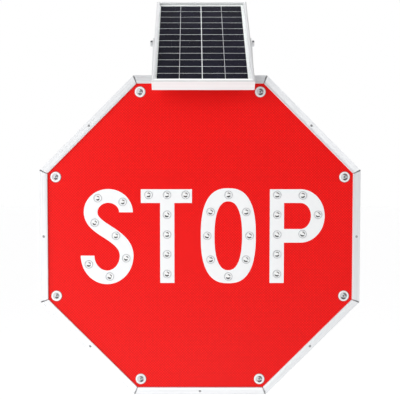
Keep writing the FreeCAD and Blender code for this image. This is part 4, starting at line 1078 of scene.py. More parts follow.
@dataclass(frozen=True)
class Legend:
    """The generic word STOP in plain block letters of white film on the red face.

    All values are millimetres from the middle of the face, apart from powers, counts and shares.

    Attributes:
        s_handles: Reach of the curve's handles on both sides of the middle of the S, as shares of
            the bowl's height and width and of the belly's width and height.
        hole: Radius of the holes for the lenses.
        steps: Chords in a quarter of a round.
    """

    film: float = 0.12
    top: float = 89.1
    foot: float = -87.7
    bar: float = 25.7
    stem: float = 26.7
    round_top: float = 91.0
    round_foot: float = -88.2
    hole: float = 4.75
    hole_points: int = 24
    t_left: float = -111.4
    t_right: float = -15.4
    t_stem: float = -61.8
    o_middle: float = 53.0
    o_half: float = 51.7
    o_counter: Point = (26.0, 64.9)
    o_power: float = 2.55
    o_counter_power: float = 2.4
    p_left: float = 131.0
    p_right: float = 234.0
    p_shoulder: float = 188.7
    p_foot: float = -11.4
    p_counter_right: float = 208.3
    s_stroke: float = 25.8
    s_bowl: Point = (-172.6, 45.8)
    s_bowl_radii: Point = (33.2, 30.9)
    s_middle: Point = (-174.3, 9.0)
    s_slope: float = -33.0
    s_belly: Point = (-175.2, -36.0)
    s_belly_radii: Point = (36.8, 41.1)
    s_handles: tuple[float, float, float, float] = (0.58, 0.48, 0.6, 0.5)
    steps: int = 14

    def t_outline(self) -> list[Point]:
        """Bar and stem of the T."""
        under = self.top - self.bar
        left = self.t_stem - self.stem / 2
        right = self.t_stem + self.stem / 2
        return [
            (self.t_left, self.top), (self.t_right, self.top), (self.t_right, under), (right, under),
            (right, self.foot), (left, self.foot), (left, under), (self.t_left, under),
        ]

    def o_outlines(self) -> list[list[Point]]:
        """Outside and counter of the O."""
        middle = (self.o_middle, (self.round_top + self.round_foot) / 2)
        half = (self.o_half, (self.round_top - self.round_foot) / 2)
        return [
            superellipse(middle, half, self.o_power, 8 * self.steps),
            superellipse(middle, self.o_counter, self.o_counter_power, 8 * self.steps),
        ]

    def p_outlines(self) -> list[list[Point]]:
        """Outside and counter of the P."""
        stem_right = self.p_left + self.stem
        middle = (self.top + self.p_foot) / 2
        half = (self.top - self.p_foot) / 2
        inside = half - self.bar
        outer, inner = (
            arc((self.p_shoulder, middle), (right - self.p_shoulder, reach), 90, -90, 3 * self.steps)
            for right, reach in ((self.p_right, half), (self.p_counter_right, inside))
        )
        outline = [(self.p_left, self.foot), (self.p_left, self.top)] + outer
        outline += [(stem_right, self.p_foot), (stem_right, self.foot)]
        return [outline, [(stem_right, middle + inside)] + inner + [(stem_right, middle - inside)]]

    def s_spine(self) -> list[Point]:
        """Middle line of the S from its upper end to its lower end."""
        quarter = 4 / 3 * math.tan(math.radians(22.5))
        leave, over, under, arrive = self.s_handles
        bowl, bowl_radii = Vector(self.s_bowl), Vector(self.s_bowl_radii)
        belly, belly_radii = Vector(self.s_belly), Vector(self.s_belly_radii)
        slope = Vector((math.cos(math.radians(self.s_slope)), math.sin(math.radians(self.s_slope))))
        left, up = Vector((-1, 0)), Vector((0, 1))
        # Each knot has its place, the way through it, and the handles before and after it
        knots = [
            (bowl - left * bowl_radii.x, up, 0.0, bowl_radii.y * quarter),
            (bowl + up * bowl_radii.y, left, bowl_radii.x * quarter, bowl_radii.x * quarter),
            (bowl + left * bowl_radii.x, -up, bowl_radii.y * quarter, bowl_radii.y * leave),
            (Vector(self.s_middle), slope, bowl_radii.x * over, belly_radii.x * under),
            (belly - left * belly_radii.x, -up, belly_radii.y * arrive, belly_radii.y * quarter),
            (belly - up * belly_radii.y, left, belly_radii.x * quarter, belly_radii.x * quarter),
            (belly + left * belly_radii.x, up, belly_radii.y * quarter, 0.0),
        ]
        points: list[Point] = []
        for (start, leaving, _, reach), (end, arriving, approach, _) in zip(knots, knots[1:]):
            stretch = interpolate_bezier(
                start, start + leaving * reach, end - arriving * approach, end, self.steps + 1
            )
            points += [(p[0], p[1]) for p in stretch[1 if points else 0:]]
        return points

    def s_outline(self) -> list[Point]:
        """Both sides of the S, square to its middle line."""
        spine = [Vector(p) for p in self.s_spine()]
        left, right = [], []
        for before, here, after in zip([spine[0]] + spine, spine, spine[1:] + [spine[-1]]):
            run = (after - before).normalized()
            if here is spine[0] or here is spine[-1]:
                run = Vector((0, 1))
            side = Vector((-run.y, run.x)) * self.s_stroke / 2
            left.append(tuple(here + side))
            right.append(tuple(here - side))
        return left + right[::-1]

    def build(self, lenses: list[Solid], material: Material) -> list[Object]:
        """Cuts the four letters from film and lays them on the face.

        Args:
            lenses: Solids of the lenses, which the film has holes for.
            material: The white film.

        Returns:
            One piece for each letter.
        """
        letters = {
            "s": [self.s_outline()],
            "t": [self.t_outline()],
            "o": self.o_outlines(),
            "p": self.p_outlines(),
        }
        upright = Matrix.Rotation(math.radians(90), 3, "X")
        pieces = []
        for letter, loops in letters.items():
            across = [x for x, _ in loops[0]]
            for lens in lenses:
                centre = (lens.centre.x / MM, lens.centre.z / MM)
                if min(across) < centre[0] < max(across):
                    loops.append(round_outline(self.hole, self.hole_points, centre=centre))
            mesh = flat_sheet(loops, self.film)
            bmesh.ops.rotate(mesh, verts=mesh.verts, cent=(0, 0, 0), matrix=upright)
            bmesh.ops.translate(mesh, verts=mesh.verts, vec=(0, face_level() - self.film / 2 * MM, 0))
            pieces.append(finish_piece(mesh, f"legend_{letter}", Body.SIGN, material))
        return pieces


# Lenses


@dataclass(frozen=True)
class LetterLens:
    """Clear domed lens of the letters, with a thin flange, a barrel and a hollow for its light source.

    All values are millimetres.

    Attributes:
        cup_share: Depth of the hollow, as a share of the barrel's length.
        gap: Distance from the flange to the grey rim round it, which is painted shade.
    """

    dome_radius: float = 4.9
    dome_height: float = 4.3
    flange_radius: float = 6.7
    flange: float = 1.0
    fillet: float = 0.3
    barrel_radius: float = 4.6
    cup_radius: float = 3.4
    cup_share: float = 0.62
    rim_radius: float = 7.8
    gap: float = 0.05
    segments: int = 40

    def profile(self, barrel: float) -> list[Point]:
        """Section from the crown round the barrel and back into the hollow.

        Args:
            barrel: Length of the barrel behind the flange.

        Returns:
            Points as (radius, depth), depth 0 on the seat of the flange.
        """
        fillet = self.fillet
        crown = dome(self.dome_radius, self.dome_height, -self.flange, 12)
        rim = arc((self.flange_radius - fillet, -self.flange + fillet), (fillet, fillet), -90, 0, 4)
        body = [(self.flange_radius, 0.0), (self.barrel_radius, 0.0), (self.barrel_radius, barrel)]
        return crown + rim + body + hollow(self.cup_radius, barrel, barrel * self.cup_share)

    def rim_profile(self) -> list[Point]:
        """Section of the grey rim round the flange, painted shade at the lens's edge, depth 0 on its seat.
        """
        inner = self.flange_radius + self.gap
        half = (self.rim_radius - inner) / 2
        crown = arc((inner + half, -self.flange + half), (half, half), 180, 360, 8)
        return [(inner, 0.0)] + crown + [(self.rim_radius, 0.0)]

    def build(self, material: Material, rim_shade: Material) -> Object:
        """Builds every lens of the letters and its grey rim of painted shade in the place of its solid."""
        solids = solids_of("letter_lenses")
        places = on_face(solids)
        shape = lathe(self.profile((solids[0].high.y - face_level()) / MM), self.segments)
        domes = stamp(shape, places)
        piece = finish_piece(domes, "letter_lens_domes", Body.SIGN, material, smooth=35.0)
        # A grey rim round each flange, painted shade at the lens's edge
        shade_rims = stamp(lathe(self.rim_profile(), self.segments), places)
        finish_piece(shade_rims, "letter_lens_shade_rims", Body.SIGN, rim_shade, smooth=60.0)
        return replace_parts(piece, "letter_lenses")


@dataclass(frozen=True)
class BorderLens:
    """Larger clear lens of the corners, its white ring and a grey ring of painted shade round that.

    All values are millimetres.

    Attributes:
        cup_share: Depth of the hollow, as a share of the lens's depth behind the face.
        dome_gap: Distance from the dome to the ring.
        ring_gap: Distance from the white ring to the grey ring.
    """

    dome_radius: float = 6.7
    dome_height: float = 4.6
    flange: float = 1.2
    cup_radius: float = 4.6
    cup_share: float = 0.7
    dome_gap: float = 0.1
    ring_height: float = 1.5
    ring_round: float = 1.0
    ring_chamfer: float = 0.3
    ring_gap: float = 0.05
    shade_ring_width: float = 0.6
    shade_ring_height: float = 0.7
    segments: int = 48

    def lens_profile(self, radius: float, rear: float) -> list[Point]:
        """Section of the lens.

        Args:
            radius: Radius of its flange.
            rear: Depth of its rear.

        Returns:
            Points as (radius, depth), depth 0 on the face.
        """
        front = rear - self.flange
        crown = dome(self.dome_radius, self.dome_height, -self.ring_height, 14)
        body = [(self.dome_radius, front), (radius, front), (radius, rear)]
        return crown + body + hollow(self.cup_radius, rear, rear * self.cup_share)

    def ring_profile(self, outer: float) -> list[Point]:
        """Section of the ring out to a radius, with a rounded outer edge, depth 0 on the face."""
        inner, top, bend, chamfer = (
            self.dome_radius + self.dome_gap, -self.ring_height, self.ring_round, self.ring_chamfer
        )
        edge = arc((outer - bend, top + bend), (bend, bend), -90, 0, 5)
        return [(inner, 0.0), (inner, top + chamfer), (inner + chamfer, top)] + edge + [(outer, 0.0)]

    def shade_ring_profile(self, outer: float) -> list[Point]:
        """Section of the grey ring of painted shade, rounded on its front, depth 0 on the face."""
        half = self.shade_ring_width / 2
        crown = arc((outer - half, half - self.shade_ring_height), (half, half), 180, 360, 6)
        return [(outer - self.shade_ring_width, 0.0)] + crown + [(outer, 0.0)]

    def build(self, clear: Material, white: Material, grey: Material) -> list[Object]:
        """Builds every corner lens, its white ring and its grey ring of painted shade in the place of its
        solid.
        """
        lenses = solids_of("border_lenses")
        rear = (lenses[0].high.y - face_level()) / MM
        shape = lathe(self.lens_profile(lenses[0].size.x / 2 / MM, rear), self.segments)
        domes = stamp(shape, on_face(lenses))
        lens = finish_piece(domes, "border_lens_domes", Body.SIGN, clear, smooth=35.0)
        rings = solids_of("border_bezels")
        places = on_face(rings)
        outer = rings[0].size.x / 2 / MM
        # A grey ring round the white one, painted shade at the ring's outer edge
        shade_ring = stamp(lathe(self.shade_ring_profile(outer), self.segments), places)
        finish_piece(shade_ring, "border_lens_shade_rings", Body.SIGN, grey, smooth=60.0)
        shape = lathe(self.ring_profile(outer - self.shade_ring_width - self.ring_gap), self.segments)
        ring = stamp(shape, places)
        bezel = finish_piece(ring, "border_lens_rings", Body.SIGN, white, smooth=35.0)
        return [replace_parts(lens, "border_lenses"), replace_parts(bezel, "border_bezels")]


@dataclass(frozen=True)
class Crescent:
    """Outline of a crescent about a lens's middle, with sizes in millimetres and angles in degrees.

    Attributes:
        radius: Radius of its middle line.
        width: Its greatest width.
        first: Angle of one end.
        last: Angle of the other end.
        fullness: Power of its taper; less makes fuller ends.
        tip: Half width at each end.
        steps: Number of chords along it.
    """

    radius: float
    width: float
    first: float
    last: float
    fullness: float = 0.6
    tip: float = 0.04
    steps: int = 12

    def outline(self) -> list[Point]:
        """Its outer and inner edge, tapered to both ends."""
        inner, outer = [], []
        for k in range(self.steps + 1):
            share = k / self.steps
            angle = math.radians(self.first + (self.last - self.first) * share)
            half = self.width / 2 * math.sin(math.pi * share) ** self.fullness + self.tip
            for edge, reach in ((inner, self.radius - half), (outer, self.radius + half)):
                edge.append((reach * math.cos(angle), reach * math.sin(angle)))
        return outer + inner[::-1]


@dataclass(frozen=True)
class LensInside:
    """Milky disc cast in each lens, with two crescents of painted reflection and the die before it. All
    values are millimetres.

    Attributes:
        node: Node of the frame whose solids have them.
        disc_radius: Radius of the disc.
        dark_reflection: The dark crescent, a painted reflection.
        grey_reflection: The grey crescent, a painted reflection.
        growth: Share by which the crescents are larger at the right of the sign and smaller at its left, so
            that the painted reflections darken the lenses towards the right.
        die: Radius of the die in the middle, or 0 where none shows.
        depth: Distance of the crescents behind the face; the disc lies right behind them.
        thickness: Thickness of each.
        sway: Angle in degrees by which the crescents are turned to either side, so that the painted
            reflections differ from lens to lens.
        beat: Angle in radians that the sway moves on by from lens to lens.
    """

    node: str
    disc_radius: float
    dark_reflection: Crescent
    grey_reflection: Crescent
    growth: float
    die: float = 0.0
    depth: float = 0.25
    thickness: float = 0.25
    sway: float = 14.0
    beat: float = 2.4

    def build(self, finishes: Finishes, reflector: Material) -> None:
        """Puts the disc, both crescents of painted reflection and the die in every lens."""
        solids = solids_of(self.node)
        reach = max(abs(solid.centre.x) for solid in solids)
        places, frames = on_face(solids), []
        for index, (solid, place) in enumerate(zip(solids, places)):
            turn = math.radians(self.sway * math.sin(self.beat * index))
            size = 1.0 + self.growth * solid.centre.x / reach
            frames.append(place @ Matrix.Rotation(turn, 4, "Y") @ Matrix.Diagonal((size, 1.0, size, 1.0)))
        disc = round_outline(self.disc_radius, 28)
        # The dark and grey crescents are painted reflections in the lens
        layers = [
            ("discs", disc, places, self.depth + self.thickness, reflector),
            ("painted_dark_reflections", self.dark_reflection.outline(), frames, self.depth, finishes.painted_dark),
            ("painted_grey_reflections", self.grey_reflection.outline(), frames, self.depth, finishes.grey_die_and_reflection),
        ]
        if self.die:
            layers.append(("dies", round_outline(self.die, 8), frames, self.depth, finishes.grey_die_and_reflection))
        for name, outline, seats, start, material in layers:
            shape = stamp(prism(outline, start, start + self.thickness), seats)
            finish_piece(shape, f"{self.node}_{name}", Body.SIGN, material)


# Fasteners


@dataclass(frozen=True)
class Fastener:
    """A kind of screw or rivet with a rounded head. All values are millimetres.

    Attributes:
        node: Node of the frame that the fasteners replace.
        way: Where the heads look.
        head_radius: Radius of the head.
        head_height: Height of the head.
        shank_radius: Radius of the shank.
        drive: Recess in the head.
        slope: Radius at the top of the head, as a share of the head's radius.
        tail_radius: Radius of the formed tail of a rivet, or 0.
        tail_length: Length of the formed tail of a rivet.
        tail_round: Half width of the tail's rounded side.
        pitch: Distance between the thread's crests.
        root: Radius between the crests, as a share of the shank's radius.
        chamfer: Size of the chamfer at the end.
        crown: Rise of the top of the head, as a share of its height.
        shoulder: Depth of the head's shoulder, as a share of its height.
        bore: Radius and depth of a round recess, as shares of the head's.
        cross: Reach, half width and depth of a cross recess, as shares of the head's, and its taper.
    """

    node: str
    way: Facing
    head_radius: float
    head_height: float
    shank_radius: float
    drive: Drive = Drive.CROSS
    slope: float = 0.75
    tail_radius: float = 0.0
    tail_length: float = 0.0
    tail_round: float = 0.8
    pitch: float = 0.7
    root: float = 0.86
    chamfer: float = 0.4
    crown: float = 0.18
    shoulder: float = 0.62
    bore: Point = (0.26, 0.9)
    cross: tuple[float, float, float, float] = (0.58, 0.11, 0.7, 0.6)
    segments: int = 28

    def shank(self, length: float) -> list[Point]:
        """Section of the shank, from under the head to its axis at the end."""
        if not self.tail_radius:
            side = thread(self.shank_radius, self.head_height, length, self.pitch, self.root, self.chamfer)
            return side + [(0.0, length)]
        middle, half = length - self.tail_length / 2, self.tail_length / 2
        bulb = arc((self.tail_radius - self.tail_round, middle), (self.tail_round, half), -90, 90, 6)
        plain = [(self.shank_radius, self.head_height), (self.shank_radius, length - self.tail_length)]
        return plain + bulb + [(0.0, length)]

    def recess(self) -> BMesh:
        """Tool that cuts the recess in the head."""
        if self.drive is Drive.ROUND:
            radius, depth = self.bore
            return prism(round_outline(self.head_radius * radius, 14), -PROUD / 2, self.head_height * depth)
        reach, half = (self.head_radius * share for share in self.cross[:2])
        arm = [(half, half), (half, reach), (-half, reach)]
        outline = []
        for _ in range(4):
            outline += arm
            arm = [(-z, x) for x, z in arm]
        return prism(outline, -PROUD / 2, self.head_height * self.cross[2], self.cross[3])

    def shape(self, length: float) -> BMesh:
        """Head with its recess and shank, the top of the head at depth 0."""
        top = self.head_radius * self.slope
        rise, waist = self.head_height * self.crown, self.head_height * self.shoulder
        profile = arc((0.0, rise), (top, rise), -90, 0, 5)[:-1]
        profile += arc((top, waist), (self.head_radius - top, waist - rise), -90, 0, 6)
        profile += [(self.head_radius, self.head_height)] + self.shank(length)
        return carved(lathe(profile, self.segments), self.recess(), "DIFFERENCE")

    def build(self, slot: str, material: Material) -> Object:
        """Puts one fastener in the place of each solid of the node."""
        shape = self.shape(solids_of(self.node)[0].size[self.way.axis] / MM)
        return take_over(shape, self.node, UPRIGHT, self.way, Body.SIGN, material, 40.0)


@dataclass(frozen=True)
class PivotSet:
    """Hexagon bolt, washer, nylon spacer and nut at each side of the panel. All values are millimetres.

    Attributes:
        face: Radius of the flat end of a hexagon, as a share of its size across flats.
        slack: How far the turning tool reaches past the corners.
        overlap: How far the rod reaches into the bolt's head.
        play: Distance from the shank to a ring's bore.
        edge: Size of a ring's broken edges.
    """

    flats: float = 10.0
    face: float = 0.475
    slack: float = 0.1
    head: float = 4.0
    shank: float = 3.0
    washer: Point = (6.0, 1.0)
    spacer: Point = (6.5, 0.5)
    nut: float = 5.0
    pitch: float = 1.0
    overlap: float = 1.0
    play: float = 0.05
    edge: float = 0.15
    segments: int = 36

    def hexagon(self, length: float, both_ends: bool, bore: float = 0.0) -> BMesh:
        """Hexagon whose corners are turned off at its outer end, or at both.

        Args:
            length: Its height.
            both_ends: True where both ends are turned.
            bore: Radius of its bore, or 0.

        Returns:
            The hexagon with its outer end at depth 0.
        """
        corner = self.flats / math.sqrt(3)
        face = self.flats * self.face
        rise = (corner - face) * math.tan(math.radians(30))
        clear = corner + self.slack
        turned = [(bore, 0.0), (face, 0.0), (clear, rise)]
        turned += [(clear, length - rise), (face, length)] if both_ends else [(clear, length)]
        # The bar stands out of both ends, because the cut fails in some runs where faces are flush
        bar = prism(hexagon_outline(self.flats), -PROUD, length + PROUD)
        return carved(bar, lathe(turned + [(bore, length)], self.segments), "INTERSECT")

    def bolt(self, length: float) -> BMesh:
        """Bolt with the top of its head at depth 0."""
        inside = self.head - self.overlap
        rod = [(0.0, inside)] + thread(self.shank, inside, length, self.pitch) + [(0.0, length)]
        return carved(self.hexagon(self.head, False), lathe(rod, self.segments), "UNION")

    def ring(self, radius: float, thickness: float) -> BMesh:
        """Flat ring with broken edges."""
        inner, edge = self.shank + self.play, self.edge
        profile = [
            (inner, 0.0), (radius - edge, 0.0), (radius, edge), (radius, thickness - edge),
            (radius - edge, thickness), (inner, thickness),
        ]
        return lathe(profile, self.segments)

    def build(self, lean: Lean, finishes: Finishes) -> list[Object]:
        """Puts the four kinds of piece in the places of their solids."""
        bolts = solids_of("pivot_bolts", lean.seat)
        shapes = {
            "pivot_bolts": (self.bolt(bolts[0].size.x / MM), "zinc_steel"),
            "pivot_washers": (self.ring(*self.washer), "zinc_steel"),
            "pivot_spacers": (self.ring(*self.spacer), "black_plastic"),
            "pivot_nuts": (self.hexagon(self.nut, True, self.shank), "zinc_steel"),
        }
        return [
            take_over(shape, node, lean.seat, None, Body.PANEL, finishes.by_slot[slot], 30.0)
            for node, (shape, slot) in shapes.items()
        ]


@dataclass(frozen=True)
class Gland:
    """Cable gland with a fluted cap over a hexagon and a thread. All values are millimetres.

    Attributes:
        node: Node of the frame that the gland replaces.
        way: Where its cap looks.
        cap: Radius and height of the cap.
        bore: Radius of the opening.
        taper: Radius at the top of the cap, as a share of the cap's radius.
        flats: Size of the hexagon, or 0 for none.
        hexagon: Height of the hexagon.
        thread: Radius of the thread.
        pitch: Distance between the thread's crests.
        valley: Radius between the flutes, as a share of the cap's radius.
        grip: Depth where the flutes start, as a share of the cap's height.
        lip: Width of the flat lip at the top.
        step: Height of the step behind the lip.
        flutes: Number of flutes round the cap.
        flute: Shares of a flute's turn where its crest starts and ends.
        overlap: How far the dome reaches into the flutes, and the thread into the hexagon.
    """

    node: str
    way: Facing
    cap: Point
    bore: float
    taper: float
    flats: float = 0.0
    hexagon: float = 0.0
    thread: float = 0.0
    pitch: float = 1.5
    valley: float = 0.93
    grip: float = 0.5
    lip: float = 0.4
    step: float = 0.2
    flutes: int = 12
    flute: Point = (0.3, 0.7)
    overlap: Point = (0.4, 0.5)
    segments: int = 36

    def shape(self, length: float) -> BMesh:
        """The gland with the top of its cap at depth 0."""
        radius, height = self.cap
        valley = radius * self.valley
        grip = height * self.grip
        lip = radius * self.taper - self.lip
        foot = grip + self.overlap[0]
        cap = [(0.0, 0.0), (lip, 0.0)] + arc((lip, grip), (valley - lip, grip - self.step), -90, 0, 7)
        whole = lathe(cap + [(valley, foot), (0.0, foot)], self.segments)
        fluted = []
        for k in range(self.flutes):
            for share, reach in ((0.0, valley), (self.flute[0], radius), (self.flute[1], radius)):
                angle = math.tau * (k + share) / self.flutes
                fluted.append((reach * math.cos(angle), reach * math.sin(angle)))
        added = [prism(fluted, grip, height)]
        if self.flats:
            end = height + self.hexagon
            added.append(prism(hexagon_outline(self.flats), height, end))
            start = end - self.overlap[1]
            rod = [(0.0, start)] + thread(self.thread, start, length, self.pitch) + [(0.0, length)]
            added.append(lathe(rod, self.segments))
        for shape in added:
            whole = carved(whole, shape, "UNION")
        return carved(whole, prism(round_outline(self.bore, 24), -PROUD, length + PROUD), "DIFFERENCE")

    def build(self, body: Body, seat: Matrix, slot: str, material: Material) -> Object:
        """Puts the gland in the place of its solid.

        Args:
            body: Body that carries it.
            seat: Matrix that carries that body from its own upright frame to its place.
            slot: Material slot of the record; not used.
            material: Its finish.

        Returns:
            The new piece.
        """
        shape = self.shape(solids_of(self.node, seat)[0].size[self.way.axis] / MM)
        return take_over(shape, self.node, seat, self.way, body, material, 35.0)


@dataclass(frozen=True)
class JunctionLid:
    """Lid of the junction box with rounded corners, a sunk middle and four screws.

    All values are millimetres.

    Attributes:
        edge: Width of the bevel round the rear.
        border: Width of the rim round the sunk middle.
        wall: Width of the slope down to the sunk middle.
        sink: Depth of the sunk middle.
        screw: Radius and height of a screw's head.
        screw_shank: Radius and length of a screw's shank.
        screw_inset: Distance of a screw from the lid's sides.
        screw_proud: Share of a head that stands proud of the lid.
    """

    corner: float = 4.0
    edge: float = 0.5
    border: float = 4.5
    wall: float = 0.4
    sink: float = 0.5
    screw: Point = (1.9, 0.7)
    screw_shank: Point = (1.0, 0.9)
    screw_pitch: float = 0.5
    screw_inset: float = 4.6
    screw_proud: float = 0.6

    def outline(self, width: float, height: float) -> list[Point]:
        """Rounded rectangle about the middle."""
        points = []
        for k, (x, z) in enumerate(((1, 1), (-1, 1), (-1, -1), (1, -1))):
            centre = (x * (width / 2 - self.corner), z * (height / 2 - self.corner))
            points += arc(centre, (self.corner, self.corner), 90 * k, 90 * (k + 1), 6)
        return points

    def screws(self, solid: Solid, seat: Matrix) -> BMesh:
        """The four screws of a lid that sits at a seat."""
        radius, height = self.screw
        shank, length = self.screw_shank
        kind = Fastener("junction_box_lid", Facing.REAR, radius, height, shank, pitch=self.screw_pitch)
        size = solid.size / MM
        across, up = size.x / 2 - self.screw_inset, size.z / 2 - self.screw_inset
        top = size.y / 2 + height * self.screw_proud
        spots = [Vector((x * across, top, z * up)) * MM for x in (-1, 1) for z in (-1, 1)]
        places = [seat @ pointing(solid.centre + spot, Facing.REAR) for spot in spots]
        return stamp(kind.shape(height + length), places)

    def build(self, lean: Lean, black: Material, zinc: Material) -> Object:
        """Puts the lid and its screws in the place of its solid."""
        solid = solids_of("junction_box_lid", lean.seat)[0]
        size = solid.size / MM
        mesh = prism(self.outline(size.x, size.z), -size.y / 2, size.y / 2)
        rear = max(mesh.faces, key=lambda face: face.calc_center_median().y)
        bmesh.ops.bevel(
            mesh, geom=list(rear.edges), offset=self.edge * MM, offset_type="OFFSET", affect="EDGES",
            segments=3, profile=0.5, material=-1,
        )
        rear = max(mesh.faces, key=lambda face: (round(face.calc_center_median().y, 6), face.calc_area()))
        for width, depth in ((self.border, 0.0), (self.wall, -self.sink)):
            bmesh.ops.inset_region(
                mesh, faces=[rear], thickness=width * MM, depth=depth * MM, use_even_offset=True
            )
        place = lean.seat @ Matrix.Translation(solid.centre)
        bmesh.ops.transform(mesh, matrix=place, verts=mesh.verts)
        lid = finish_piece(mesh, "junction_box_lid_made", Body.PANEL, black, smooth=40.0)
        screws = self.screws(solid, lean.seat)
        finish_piece(screws, "junction_lid_screws", Body.PANEL, zinc, smooth=40.0)
        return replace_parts(lid, "junction_box_lid")


# Finishes on the frame's own nodes


class Dressing:
    """Puts a finish on every node of the frame that stays in view."""

    # Clockwise from the bottom, as Finishes.rail counts them
    SIDES = ("bottom", "lower_left", "left", "upper_left", "top", "upper_right", "right", "lower_right")

    def __init__(self, finishes: Finishes) -> None:
        """Keeps the finishes to use."""
        self.finishes = finishes

    def choose(self) -> dict[str, Material]:
        """The finish of each node."""
        chosen = {}
        for part in frame["record"]["subparts"]:
            material = self.finishes.by_slot.get(part["material_slot"])
            if material is not None:
                chosen[part["node"]] = material
        for index, side in enumerate(self.SIDES):
            chosen[f"frame_rail_{side}"] = self.finishes.rail(index)
        mount = Extrusion("mount_extrusion", (0.76, 0.765, 0.775), roughness=0.4).build()
        chosen.update({f"mount_rail_{side}": mount for side in ("upper", "lower")})
        for upright, sides in ((True, ("left", "right")), (False, ("top", "bottom"))):
            material = self.finishes.panel_rail(upright)
            chosen.update({f"panel_rail_{side}": material for side in sides})
        keys = Extrusion("key_extrusion", (0.7, 0.7, 0.71), roughness=0.42).build()
        for node in frame["nodes"]:
            chosen.setdefault(node, keys)
            if node.startswith("led_board") or node == "border_led_boards":
                chosen[node] = self.finishes.white_board
        return chosen

    def apply(self) -> None:
        """Dresses the nodes."""
        for node, material in self.choose().items():
            data = frame["nodes"][node].data
            data.materials.clear()
            data.materials.append(material)
        LOG.info("dressed %d nodes", len(frame["nodes"]))


# Studio


@dataclass(frozen=True)
class Lamp:
    """A soft rectangular lamp.

    Attributes:
        name: Name of the lamp.
        place: Where it stands, in metres.
        aim: Point that it faces.
        size: Width and height, in metres.
        power: Its power in watts.
        mirrored: True where glossy surfaces may mirror it.
    """

    name: str
    place: Triple
    aim: Triple
    size: Point
    power: float
    mirrored: bool = True

    def build(self) -> Object:
        """Adds the lamp to the scene."""
        data = bpy.data.lights.new(self.name, "AREA")
        data.shape = "RECTANGLE"
        data.size, data.size_y = self.size
        data.energy = self.power
        lamp = in_scene(self.name, data)
        lamp.visible_glossy = lamp.visible_transmission = self.mirrored
        lamp.location = self.place
        lamp.rotation_mode = "QUATERNION"
        lamp.rotation_quaternion = (Vector(self.aim) - Vector(self.place)).to_track_quat("-Z", "Y")
        return lamp


